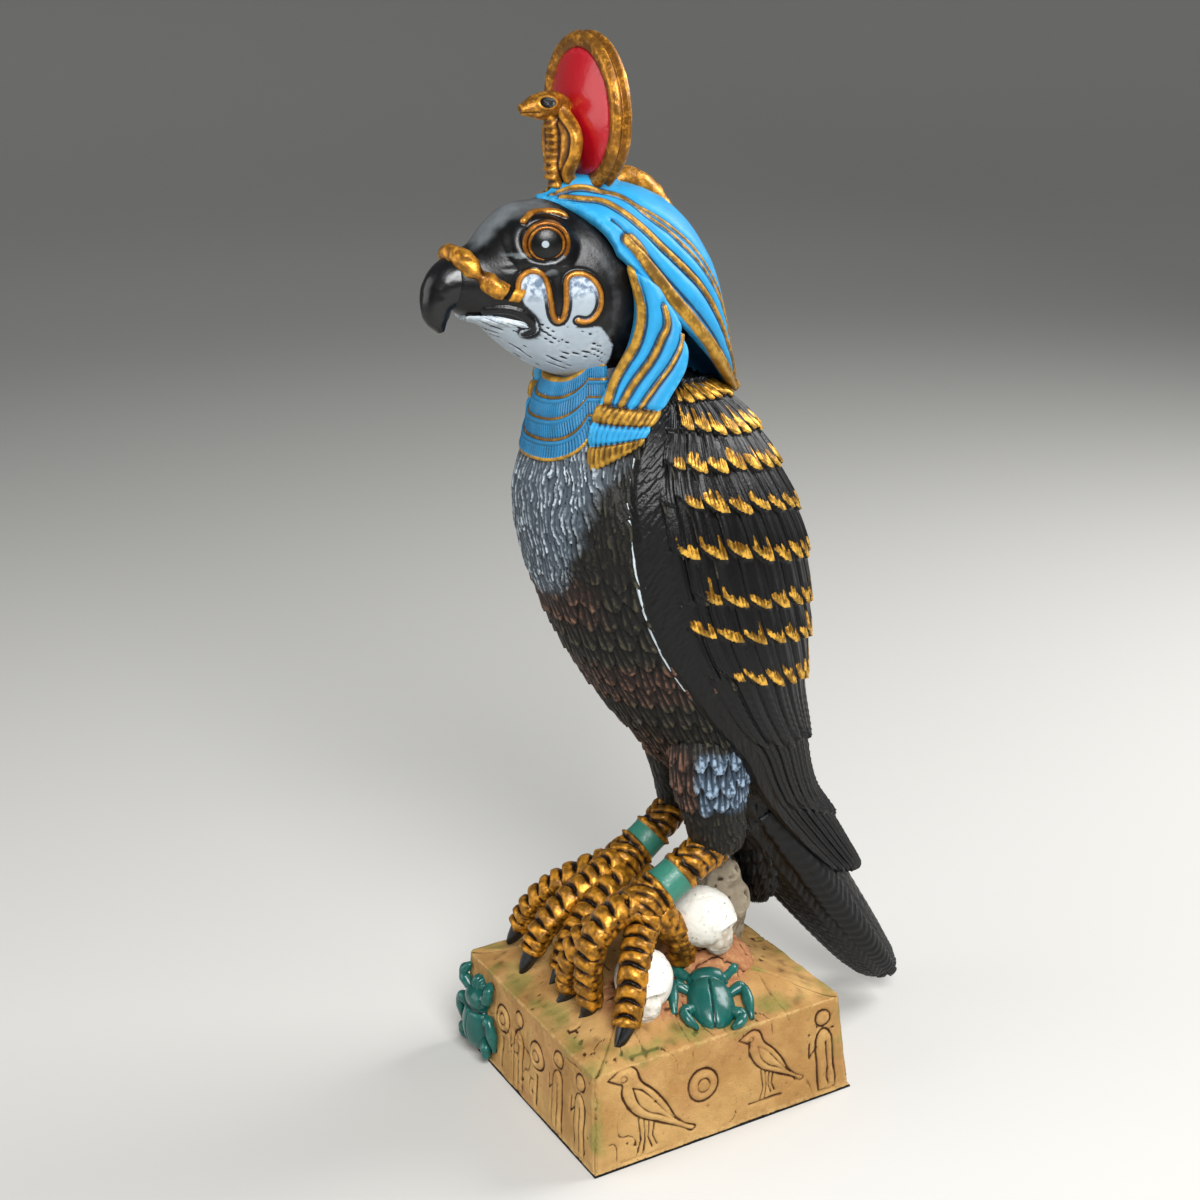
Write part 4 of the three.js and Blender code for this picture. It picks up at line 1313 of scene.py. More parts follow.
def profiled(name, rows, columns, rings, marks, relief):
    """A tube in the middle plane from rows of [Y, Z, half height, half width]."""
    follow, at = limb([[0, y, z, high, wide] for y, z, high, wide in rows])

    def place(along, angle, share):
        high, wide = at(along)[:, 3], at(along)[:, 4]
        points = follow(along, angle, share * wide, share * high)
        return points, relief(points, along, angle) * share, marks(points)

    return tube(name, columns, rings, place)


def plain_face(points):
    return {"white": -3.0, "gold": -3.0, "grey": 0.0, "blue": 0.0}


def beak_relief(points, along, angle):
    return 0.06 * grain(points, 1.4, 81)


def jaw_marks(points):
    return {"white": np.where(points[:, 2] < 217.2, 1.0, -1.0), "gold": -3.0, "grey": 0.0, "blue": 0.0}


def jaw_relief(points, along, angle):
    flat = points[:, 1:]
    slope = flat @ np.array([0.87, -0.5])
    rise = flat @ np.array([0.5, 0.87])
    return -0.35 * stroke_lines(slope, rise, 71)


def cere_shape():
    whole = CERE + [[-x, y, z, r] for x, y, z, r in CERE[-2::-1]]
    follow, at = limb(whole, (0, 0.6, 0.8))

    def place(along, angle, share):
        middle = np.abs(along - 0.5) * 2
        waist = 0.42 * np.exp(-(((middle - 0.5) / 0.07) ** 2))
        nostril = 0.4 * np.exp(-(((middle - 0.83) / 0.03) ** 2))
        radius = at(along)[:, 3] * (1 - waist - nostril)
        points = follow(along, angle, share * radius, share * radius)
        height = 0.45 * grain(points, 2.3, 83) + 0.2 * grain(points, 1.0, 84)
        return points, height * share, {"black": 0.45 - 12 * np.abs(middle - 0.83)}

    return tube("cere", 48, 150, place)


piece("beak", profiled("beak", BEAK, 110, 120, plain_face, beak_relief), HORN, "falcon", 12)
piece("jaw", profiled("jaw", JAW, 90, 60, jaw_marks, jaw_relief), FACE, "falcon", 8)
piece("cere", cere_shape(), OLD_GOLD, "falcon", 9)

# %% [markdown]
# ## Headcloth
#
# The cloth is a thick leaf over the head. Its stripes start at the brow and fan out to the hem, so they
# are given in the cloth's own coordinates: across from 0 to 1, with 0.5 on the crown, and along from
# brow to nape. Between two stripes the cloth is puffed, and each stripe is a raised gold bead.

# %% Headcloth
HOOD = [
    [0, -25.6, 242.4, 19.8, -14.6, 231],
    [0.14, -15, 244.8, 22, -9.8, 225],
    [0.3, -3, 244.2, 23.2, -3.6, 217],
    [0.46, 8.2, 238.8, 22.8, 3.2, 210],
    [0.62, 16.4, 228.6, 20, 10.6, 203],
    [0.78, 21.2, 214.5, 15, 17.6, 196.8],
    [0.9, 25, 201.5, 9.4, 23, 192.6],
    [1, 27.4, 190.6, 4.4, 26.8, 190.4],
]
HOOD_THICKNESS = 3.4
HOOD_CURL = 3.4
# Each stripe: half width in mm, height in mm, and its line as [across, along].
BROW_TO_NECK = [
    [0.53, 0.03],
    [0.613, 0.14],
    [0.647, 0.205],
    [0.7, 0.258],
    [0.727, 0.343],
    [0.745, 0.413],
    [0.757, 0.512],
    [0.772, 0.7],
    [0.79, 1],
]
BESIDE_IT = [
    [0.54, 0.045],
    [0.625, 0.14],
    [0.67, 0.21],
    [0.73, 0.27],
    [0.757, 0.352],
    [0.78, 0.43],
    [0.79, 0.53],
    [0.8, 0.7],
    [0.81, 1],
]
WIDE_STRIPE = [
    [0.58, 0.03],
    [0.63, 0.055],
    [0.677, 0.103],
    [0.743, 0.15],
    [0.792, 0.215],
    [0.828, 0.3],
    [0.85, 0.405],
    [0.86, 0.515],
    [0.872, 0.64],
    [0.876, 0.8],
    [0.88, 1],
]
HEM_STRIPE = [
    [0.875, 0.1],
    [0.93, 0.195],
    [0.953, 0.288],
    [0.965, 0.398],
    [0.972, 0.52],
    [0.975, 0.7],
    [0.97, 1],
]
STRIPES = [
    (0.42, 0.4, BROW_TO_NECK),
    (0.42, 0.4, BESIDE_IT),
    (0.85, 0.55, WIDE_STRIPE),
    (1.7, 0.6, HEM_STRIPE),
]
GROOVE = [
    [0.787, 0.07],
    [0.87, 0.128],
    [0.895, 0.203],
    [0.915, 0.318],
    [0.93, 0.422],
    [0.936, 0.552],
    [0.94, 0.7],
    [0.935, 1],
]
hood_at = track(HOOD)


def on_hood(across, along, proud):
    crown_y, crown_z, half_width, hem_y, hem_z = np.moveaxis(hood_at(along), -1, 0)
    turn = (across - 0.5) * math.pi
    drop = 1 - np.cos(turn)
    curl = HOOD_CURL * np.sin(2 * np.abs(turn)) * smooth(0.35, 0.0, along)
    y = mix(crown_y, hem_y, drop) + curl
    points = points_of(half_width * np.sin(turn), y, mix(crown_z, hem_z, drop))
    core = points_of(0 * along, mix(-10, 10, along), mix(218, 200, along))
    return points - unit(core - points) * np.asarray(proud)[..., None]


def on_cloth(line):
    """A line in the cloth's own coordinates as points in space, on its left side."""
    flat = curved(line, 4)
    return on_hood(flat[:, 0], flat[:, 1], np.zeros(len(flat)))


def hood_shape():
    def place(across, along, depth):
        points = on_hood(across, along, -HOOD_THICKNESS * depth)
        mirrored = on_hood(0.5 + np.abs(across - 0.5), along, 0 * along)
        gold = np.full(len(points), -3.0)
        height = np.zeros(len(points))
        nearest = np.full(len(points), 9.0)
        for half_width, high, line in STRIPES:
            away, _ = to_line(mirrored, on_cloth(line))
            gold = np.maximum(gold, half_width - away)
            height = height + bead(away, half_width, high) + dent(away - half_width - 0.3, 0.35, 0.25)
            nearest = np.minimum(nearest, away - half_width)
        away, _ = to_line(mirrored, on_cloth(GROOVE))
        height = height + dent(away, 0.5, 0.6)
        nearest = np.minimum(nearest, away)
        height = height + 0.5 * smooth(0.0, 2.2, nearest)
        pad = np.linalg.norm(points - [0, -13, 245], axis=-1)
        height = height + 1.6 * smooth(9.5, 5.0, pad) + 0.12 * grain(points, 3.5, 91)
        return points, np.where(depth < 0.5, height, 0), {"gold": np.where(depth < 0.62, gold, -3.0)}

    return leaf("headcloth", 300, 185, (0.012, 0.012), place)


piece("headcloth", hood_shape(), HEADCLOTH, "falcon", 62)

# %% Crown ridge
RIDGE = [
    [0, -9, 242.6, 2.4, 2],
    [0, -2.6, 244.8, 3.4, 3],
    [0, 3.2, 242.8, 3.6, 3],
    [0, 9.6, 235.4, 3, 2.6],
    [0, 14.6, 228.4, 2.6, 2],
    [0, 17.4, 221, 1.2, 0.8],
]


def sized_limb(name, rows, columns, rings, relief, marks, side=(1, 0, 0)):
    """A tube from rows of [X, Y, Z, half width, half height]."""
    follow, at = limb(rows, side)

    def place(along, angle, share):
        points = follow(along, angle, share * at(along)[:, 3], share * at(along)[:, 4])
        return points, relief(points, along, angle) * share, marks(points, along, angle)

    return tube(name, columns, rings, place)


def no_black(points, along, angle):
    return {"black": -3.0}


def ridge_relief(points, along, angle):
    return 0.35 * grain(points, 2.6, 95) + bead(np.abs(points[:, 0]), 0.7, 0.35)


ridge = sized_limb("crown_ridge", RIDGE, 60, 120, ridge_relief, no_black)
piece("crown_ridge", ridge, OLD_GOLD, "falcon", 8)

# %% [markdown]
# ## Lappets and collar
#
# A lappet hangs on each shoulder and ends in three pleated bands: gold, blue and gold. The collar is
# four rows of small ribs between gold cords.

# %% Lappets
LAPPET = [
    [0, 21, -13.4, 228, 22.6, -6, 222],
    [0.22, 22, -12, 218, 24.6, -0.5, 211],
    [0.42, 21, -13.6, 209, 25.2, 0, 203.5],
    [0.62, 18.4, -18.4, 199.8, 25, -4.4, 196.4],
    [0.8, 16.2, -21.6, 190, 25, -10.6, 188.6],
    [1, 15.4, -22.6, 178, 24.6, -12.4, 186.4],
]
LAPPET_SIZE = {"thickness": 5, "bulge": 2.2}
# Each stripe: half width in mm, and its line as [across, along].
LAPPET_STRIPES = [
    (1.1, [[0.1, 0.015], [0.12, 0.2], [0.1, 0.375], [0.07, 0.5], [0.09, 0.6], [0.14, 0.69]]),
    (0.8, [[0.72, 0.12], [0.56, 0.25], [0.45, 0.335], [0.37, 0.515], [0.35, 0.69]]),
    (0.55, [[0.93, 0.24], [0.8, 0.34], [0.7, 0.458], [0.63, 0.69]]),
]
LAPPET_BANDS = [0.7, 0.78, 0.88, 1.0]
lappet_at = track(LAPPET)


def on_lappet(across, along, proud):
    values = lappet_at(along)
    points = mix(values[..., :3], values[..., 3:], across[..., None])
    out = unit(points_of(points[..., 0], points[..., 1] + 2, 0 * across))
    bulge = LAPPET_SIZE["bulge"] * np.sin(math.pi * across)
    return points + out * (bulge + proud)[..., None]


def lappet_shape(name, hand):
    def place(across, along, depth):
        points = on_lappet(across, along, 0 * along)
        skewed = along + 0.02 * (across - 0.35)
        gold = np.full(len(points), -3.0)
        height = np.zeros(len(points))
        nearest = np.full(len(points), 9.0)
        for half_width, line in LAPPET_STRIPES:
            flat = curved(line, 4)
            away, _ = to_line(points, on_lappet(flat[:, 0], flat[:, 1], np.zeros(len(flat))))
            gold = np.maximum(gold, half_width - away)
            height = height + bead(away, half_width, 0.5) + dent(away - half_width - 0.3, 0.35, 0.25)
            nearest = np.minimum(nearest, away - half_width)
        height = height + 0.5 * smooth(0.0, 2.0, nearest)
        first, second, third, _ = LAPPET_BANDS
        in_bands = smooth(first - 0.006, first + 0.006, skewed)
        pleats = 0.45 * np.abs(np.sin(math.pi * across * 11 + 0.8 * np.sin(9 * skewed)))
        edges = dent((skewed - first) * 40, 0.5, 0.5) + dent((skewed - second) * 40, 0.5, 0.6)
        edges = edges + dent((skewed - third) * 40, 0.5, 0.6)
        height = mix(height, 0.35 + pleats, in_bands) + edges
        blue = (skewed > second) & (skewed < third)
        banded = np.where(blue, -3.0, np.minimum(np.abs(skewed - second), np.abs(skewed - third)) * 40)
        gold = np.where(in_bands > 0.5, banded, gold)
        shown = on_lappet(across, along, -LAPPET_SIZE["thickness"] * depth)
        shown[:, 0] *= hand
        return shown, np.where(depth < 0.5, height, 0), {"gold": np.where(depth < 0.62, gold, -3.0)}

    return leaf(name, 60, 170, (0.05, 0.015), place)


for side, hand in (("left", 1), ("right", -1)):
    name = f"lappet_{side}"
    piece(name, lappet_shape(name, hand), HEADCLOTH, "falcon", 16)

# %% Collar
COLLAR = {"top": 199.4, "bottom": 180, "rise": 7.5, "spread": 58, "rows": 4, "proud": 1.6}
COLLAR_RIBS = 64


def collar_shape():
    def place(across, along, depth):
        angle = np.radians(-90 + (across - 0.5) * 2 * COLLAR["spread"])
        bent = clamp(np.abs(across - 0.5) * 2 / 0.74) ** 3.4
        z = mix(COLLAR["top"], COLLAR["bottom"], along) + COLLAR["rise"] * mix(0.55, 1, along) * bent
        points = on_hull(z, angle, mix(COLLAR["proud"], -4, depth))
        down = along * COLLAR["rows"]
        row = np.minimum(np.floor(down), COLLAR["rows"] - 1)
        part = down - row
        mm = (COLLAR["top"] - COLLAR["bottom"]) / COLLAR["rows"]
        cord = np.minimum(part, 1 - part) * mm
        last = 1 + 0.4 * (along > 0.9)
        gold = np.where((part > 0.5) | (row == 0), 0.5 * last - np.abs(cord - 0.35), -3)
        ribs = 0.6 * np.abs(np.sin(math.pi * across * COLLAR_RIBS)) * smooth(0.6, 1.2, cord)
        height = ribs + bead(cord - 0.35, 0.55 * last, 0.6) - 0.5 * part
        return points, np.where(depth < 0.5, height, 0), {"gold": np.where(depth < 0.62, gold, -3.0)}

    return leaf("collar", 240, 90, (0.02, 0.03), place)


piece("collar", collar_shape(), COLLAR_PAINT, "falcon", 38)

# %% [markdown]
# ## Feet
#
# Each foot is a bare shin, four toes and their claws. A toe carries one column of broad plates on top,
# with deep gaps between them, and smaller scales down its sides.

# %% Feet
FEET = {
    "left": {
        "tarsus": [
            [16.6, 15.4, 74, 4.6],
            [16.4, 9.6, 70.8, 5.6],
            [16, 3.4, 67.2, 5.4],
            [15.8, -4.2, 62.7, 5.5],
            [15.4, -9.6, 59.8, 6.4],
            [15, -13.6, 56.6, 5.4],
        ],
        "toes": [
            [[15.6, -8.6, 59], [18.6, -12, 54], [22, -16, 49], [26, -19.8, 41.6], [28.6, -23.2, 33.8]],
            [[15, -11, 60.4], [15, -19.6, 57.4], [15, -25.2, 50.6], [14.8, -26.4, 42], [14.4, -26, 34]],
            [[12, -11, 57.4], [9, -19, 52.6], [6.2, -24.6, 46.6], [4.4, -26.4, 39.4], [4, -26.8, 33.6]],
            [[15.4, -7, 57], [15.2, -1.6, 49], [14, 1.6, 43.4], [12.6, 3, 37.4]],
        ],
        "claws": [[30.6, -27.6, 29.4], [14, -29.4, 29.6], [3.4, -30.4, 29.8], [12, 2.2, 32.2]],
    },
    "right": {
        "tarsus": [
            [-16.6, 23.4, 70.4, 4.2],
            [-16.4, 18.4, 67.4, 5],
            [-16.2, 13, 63.4, 5.2],
            [-16, 7.2, 59.2, 5.4],
            [-15.6, 1.6, 56.2, 6],
            [-15.2, -1.8, 53.4, 5],
        ],
        "toes": [
            [[-18, -1, 54.6], [-23, -9.6, 50.6], [-27, -16.4, 46.2], [-30, -21.2, 40.4], [-31.6, -24, 34.6]],
            [[-15, 0, 56.8], [-14, -8.6, 53.2], [-14.6, -16.8, 48.4], [-15.4, -23.8, 42], [-16, -28, 35.4]],
            [[-12, -1, 54], [-8.6, -9.6, 50.2], [-6.4, -16.8, 45.4], [-5.4, -21.6, 39.8], [-5, -24.2, 34.4]],
            [[-16, 3, 53], [-16.4, 8.6, 46.8], [-17, 11.2, 41.2], [-17.4, 12, 36]],
        ],
        "claws": [[-33, -27.6, 29.6], [-16.2, -31.6, 29.2], [-5, -28.2, 30], [-17.8, 11.4, 31.6]],
    },
}
TOE = {"root": 4.7, "tip": 3.8, "plate": 3.8, "sunk": 0.45}
CLAW = {"root": 2.7, "tip": 0.7}
CUFF = {"from": 0.46, "to": 0.64}
TARSUS_SUNK = 0.6


def length_of(points):
    return sum(math.dist(a, b) for a, b in zip(points[:-1], points[1:]))


def across_toe(points):
    run = np.array(points[-1], float) - np.array(points[0], float)
    return unit(np.array([-run[1], run[0], 0]))


def plates(down, rise, gap):
    """Plates in a row: each is high behind its lower edge, and a deep gap follows."""
    part = down % 1
    return rise * (0.55 + 0.45 * part) * smooth(0, gap, part) * smooth(1, 1 - gap, part)


def toe_mesh(points, seed):
    follow, _ = limb(points, across_toe(points))
    length = length_of(points)

    def place(along, angle, share):
        radius = mix(TOE["root"], TOE["tip"], along) - TOE["sunk"]
        at = follow(along, angle, radius * share, radius * share)
        top = -np.sin(angle)
        down = along * length / TOE["plate"] + 0.22 * grain(at, 6.0, seed) - 0.2 * np.cos(angle) ** 2
        part = down % 1
        own = lot(np.floor(down), seed)
        away = np.minimum(part, 1 - part) * TOE["plate"]
        crescent = smooth(0.25 + 0.25 * own, 0.9, top)
        domes = (0.45 + 0.5 * part) * smooth(0.0, 0.45, top)
        gaps = -1.5 * crescent * np.exp(-((away / (0.28 + 0.35 * crescent)) ** 2))
        hairline = -0.35 * smooth(-0.1, 0.2, top) * np.exp(-((away / 0.25) ** 2))
        lane = (top + 0.62) * 2.2
        small = plates(down * 1.3 + 0.5 * np.floor(lane), 0.5, 0.2) * smooth(0, 0.3, lane % 1)
        flank = smooth(-0.6, -0.45, top) * smooth(0.5, 0.3, top)
        pads = 0.35 * grain(at, 1.8, seed + 1) * smooth(-0.4, -0.6, top)
        height = domes + gaps + hairline + flank * small + pads + 0.12 * grain(at, 1.5, seed + 2)
        return at, height * smooth(0, 1, share), {"cuff": -3.0}

    return tube("toe", 72, int(length / 0.36), place)


def claw_mesh(points, tip):
    end, before = np.array(points[-1], float), np.array(points[-2], float)
    tip = np.array(tip, float)
    middle = mix(end, tip, 0.5) + 0.14 * (end - before)
    follow, _ = limb([end, middle, tip], across_toe(points))

    def place(along, angle, share):
        radius = mix(CLAW["root"], CLAW["tip"], along) * share
        return follow(along, angle, radius, radius), 0.05 * np.sin(3 * angle) * share, {}

    return tube("claw", 30, 40, place)


def tarsus_mesh(rows):
    follow, at = limb(rows)
    length = length_of([row[:3] for row in rows])

    def place(along, angle, share):
        radius = (at(along)[:, 3] - TARSUS_SUNK) * share
        points = follow(along, angle, radius, radius)
        from_cuff = np.minimum(along - CUFF["from"], CUFF["to"] - along) * length
        chevron = along * length / 2.9 + 1.3 * np.abs(np.cos(angle))
        scales = plates(chevron, 0.7, 0.25) + 0.35 * grain(points, 1.6, 105)
        rings = 0.7 * np.exp(-(((from_cuff + 0.2) / 0.55) ** 2))
        in_cuff = smooth(-0.2, 0.2, from_cuff)
        height = mix(scales, 0.55 + 0.1 * grain(points, 3.0, 107), in_cuff) + rings
        height = height - 0.4 * smooth(0.9, 0.3, np.abs(from_cuff + 1.3))
        return points, height * smooth(0, 1, share), {"cuff": from_cuff - 0.6}

    return tube("tarsus", 110, int(length / 0.32), place)


for side, foot in FEET.items():
    toes = [toe_mesh(points, 101 + 7 * i) for i, points in enumerate(foot["toes"])]
    claws = [claw_mesh(points, tip) for points, tip in zip(foot["toes"], foot["claws"])]
    name = f"foot_{side}"
    foot_mesh = joined(name, [tarsus_mesh(foot["tarsus"]), *toes])
    piece(name, foot_mesh, GILDED_SKIN, "falcon", 38)
    name = f"claws_{side}"
    piece(name, joined(name, claws), HORN, "falcon", 4)

# %% [markdown]
# ## Crown: sun disc and cobra
#
# The disc is turned about one axis, so its outline is spun round: a red dome, and a broad gold rim with
# a groove. The cobra rears in front of it, with a ribbed belly and a raised line round its spread neck.

# %% Sun disc
DISC = {"y": -11.4, "z": 261.2, "radius": 18.4, "rim": 5, "dome": 14.6, "bulge": 2.6, "groove": 0.7}


def turned_mesh(name, profile, steps, relief):
    """Turns [radius, forward] rows about the disc's own axis, which points at -Y."""
    bm = spun(profile, steps)
    mesh = bpy.data.meshes.new(name)
    bm.to_mesh(mesh)
    bm.free()
    local = read(mesh)
    points = points_of(-local[:, 0], DISC["y"] - local[:, 2], DISC["z"] + local[:, 1])
    write(mesh, points * MM)
    mesh.flip_normals()
    bm = bmesh.new()
    bm.from_mesh(mesh)
    bmesh.ops.recalc_face_normals(bm, faces=bm.faces)
    bm.to_mesh(mesh)
    bm.free()
    write(mesh, read(mesh) + normals_of(mesh) * relief(points)[:, None] * MM)
    put_mark(mesh, "black", -3)
    record_relief(mesh, 20)
    return mesh


def dome_mesh():
    radii = np.linspace(0, 1, 46)
    face = [[DISC["dome"] * r, DISC["rim"] / 2 - 0.6 + (DISC["bulge"] + 0.6) * (1 - r * r)] for r in radii]
    return turned_mesh("dome", [*face, [DISC["dome"], 0], [0, 0]], 140, lambda at: 0.02 * grain(at, 3.0, 111))


def worn_rim(points):
    return 0.16 * grain(points, 5.5, 113) + 0.04 * grain(points, 1.6, 114)


def rim_mesh():
    half, outer, inner = DISC["rim"] / 2, DISC["radius"], DISC["dome"] - 0.3
    corners = [
        [0, -half - 0.6],
        [outer * 0.55, -half - 0.5],
        [outer - 1.4, -half],
        [outer, -half + 1.2],
        [outer - 0.35, -0.7],
        [outer - DISC["groove"] - 0.3, 0],
        [outer - 0.35, 0.7],
        [outer, half - 1.2],
        [outer - 1.1, half],
        [inner + 1.1, half - 0.1],
        [inner, half - 1.2],
        [inner - 1, 0.5],
        [0, 0.5],
    ]
    profile = curved(corners, 9)
    profile[0, 0] = profile[-1, 0] = 0
    profile[:, 0] = np.maximum(profile[:, 0], 0)
    return turned_mesh("rim", profile, 220, worn_rim)


piece("disc_dome", dome_mesh(), CRIMSON, "sun_disc", 6)
piece("disc_rim", rim_mesh(), OLD_GOLD, "sun_disc", 14)

# %% Cobra
COBRA_NECK = [
    [0, -16.6, 244.6, 2.6, 2.4],
    [0, -18.8, 247.6, 4.2, 2.8],
    [0, -18.4, 252.4, 7.6, 2.4],
    [0, -18.2, 257, 7.8, 2.4],
    [0, -19, 261, 4, 2.8],
    [0, -20, 263.4, 2.2, 1.6],
]
COBRA_HEAD = [
    [0, -16.4, 262.4, 2, 2],
    [0, -20, 263.2, 3.3, 3.2],
    [0, -24.6, 263, 3.3, 2.9],
    [0, -28.9, 262.6, 1.3, 1.1],
]


def neck_relief(points, along, angle):
    x, front = np.abs(points[:, 0]), smooth(0.1, 0.5, np.sin(angle))
    edge = np.abs(np.cos(angle))
    belly = smooth(2.4, 1.9, x) * front
    ribs = 0.35 * np.sin(2 * math.pi * points[:, 2] / 1.7)
    rim = bead(edge - 0.92, 0.1, 0.6) - 0.5 * np.exp(-(((edge - 0.72) / 0.12) ** 2)) * front
    return belly * (0.8 + ribs) + dent(x - 2.7, 0.4, 0.4) * front + rim


def snake_head_relief(points, along, angle):
    lid = bead(np.linalg.norm((points[:, 1:] - COBRA_EYE) * [0.6, 1], axis=-1) - 1.25, 0.4, 0.35)
    mouth = dent(points[:, 2] - 261.8, 0.25, 0.35) * smooth(-24, -25.5, points[:, 1])
    return lid * smooth(0.3, 0.6, np.abs(np.cos(angle))) + mouth + 0.12 * grain(points, 1.5, 117)


def snake_head_marks(points, along, angle):
    away = np.linalg.norm((points[:, 1:] - COBRA_EYE) * [0.6, 1], axis=-1)
    return {"black": np.where(np.abs(np.cos(angle)) > 0.3, 1.15 - away, -3)}


COBRA_EYE = np.array([-23.2, 264.0])
neck = sized_limb("neck", COBRA_NECK, 90, 130, neck_relief, no_black)
snake_head = sized_limb("snake_head", COBRA_HEAD, 70, 90, snake_head_relief, snake_head_marks)
piece("cobra", joined("cobra", [neck, snake_head]), OLD_GOLD, "sun_disc", 18)

# %% [markdown]
# ## Plinth
#
# The block is one square skin: its rows run from the middle of the underside, up the sides and over the
# low roof. The two sides that the photograph shows have finer columns than the far two. Each carved
# sign is drawn as lines in mm along and up its side, and the lines are pressed in as grooves.

# %% Plinth signs
PLINTH = {"side": 80, "inset": 2.1, "crease": 27.9, "top": 33, "plateau": 20}
BIRD = [
    [-8.9, 9.1],
    [-5.4, 11],
    [-2.6, 11.4],
    [-0.3, 9.8],
    [1, 6],
    [4.7, 2.2],
    [8, -2.6],
    [10.2, -7],
    [13, -10.1],
    [16.2, -11.9],
    [14.8, -12.9],
    [11.6, -10.7],
    [6.5, -8],
    [3.8, -6.5],
    [0.1, -4.4],
    [-2.7, -1.7],
    [-4.5, 1.6],
    [-5.2, 4.3],
    [-4.9, 6.6],
    [-6.1, 7.4],
    [-8.9, 9.1],
]
WING_LINES = [
    [[-2, 5], [1.2, 3.2], [5, -1.4], [8, -5.4], [11.4, -8.9]],
    [[-1.8, 4.6], [-0.6, 0.2], [2.4, -3.2], [6, -5.2], [9.4, -8]],
]
LEG_LINES = [
    [[-0.8, -4.4], [-0.3, -11], [-2, -15]],
    [[0.8, -5], [1, -11], [0, -15]],
    [[2.4, -6], [1.9, -10.6], [2.8, -13.6]],
    [[4, -6.8], [3.2, -10.4], [4.2, -13.2]],
]
FIGURE = [
    [-2.4, -11],
    [-2.7, -3],
    [-2.6, 4],
    [-1, 6.6],
    [1, 6.6],
    [2.6, 4],
    [2.6, -4],
    [2.9, -11],
    [-2.4, -11],
]


def ring(x, y, radius, count=20):
    turn = np.linspace(0, 2 * math.pi, count + 1)
    return np.stack([x + radius * np.cos(turn), y + radius * np.sin(turn)], axis=-1)


def shifted(line, x, y, size=1.0):
    return np.array(line, float) * size + [x, y]


def bird_sign(x, y, size):
    inner = [curved(line, 3) for line in WING_LINES]
    lines = [shifted(line, x, y, size) for line in [*inner, *LEG_LINES, [[-6.4, -15.4], [6.8, -15.6]]]]
    outline = shifted(curved(BIRD, 3), x, y, size)
    return [outline], [outline, *lines, ring(x - 4.4 * size, y + 8.4 * size, 0.9 * size, 8)]


def ring_sign(x, y, radius):
    band = ring(x, y, radius)
    return [band], [band, band, ring(x, y, radius * 0.42, 12)]


def figure_sign(x, y):
    body = shifted(curved(FIGURE, 2), x, y)
    head = ring(x, y + 10, 2.4, 12)
    arm = [[x - 2.4, y + 2], [x - 4.8, y - 0.6], [x - 4.6, y + 3.6]]
    return [body, head], [body, head, arm, [[x + 0.4, y + 3], [x + 0.6, y - 10]]]


def tall_sign(x, y):
    raised, lines = ring_sign(x, y, 4)
    return raised, [*lines, [[x, y - 5.6], [x, y - 14.6]], [[x + 0.5, y - 5.6], [x + 0.5, y - 14.6]]]


CARVED = {
    0: [
        bird_sign(-25.4, 16.6, 0.98),
        ring_sign(-6.4, 15.6, 4.6),
        bird_sign(12.2, 17.4, 0.78),
        figure_sign(32, 13),
    ],
    1: [ring_sign(0, 15.6, 4.6)],
    2: [ring_sign(0, 15.6, 4.6)],
    3: [
        tall_sign(-15, 17.6),
        figure_sign(-5, 12.4),
        tall_sign(6, 17.2),
        figure_sign(18, 12.4),
        figure_sign(30.4, 12.4),
    ],
}


# %% Plinth block
COLUMNS = [210, 100, 100, 210]
ROWS = {"under": 4, "side": 72, "roof": 56}


def roof_height(x, y):
    edge = PLINTH["side"] / 2 - PLINTH["inset"]
    out = np.maximum(np.abs(x), np.abs(y))
    return mix(PLINTH["top"], PLINTH["crease"], smooth(PLINTH["plateau"], edge, out))


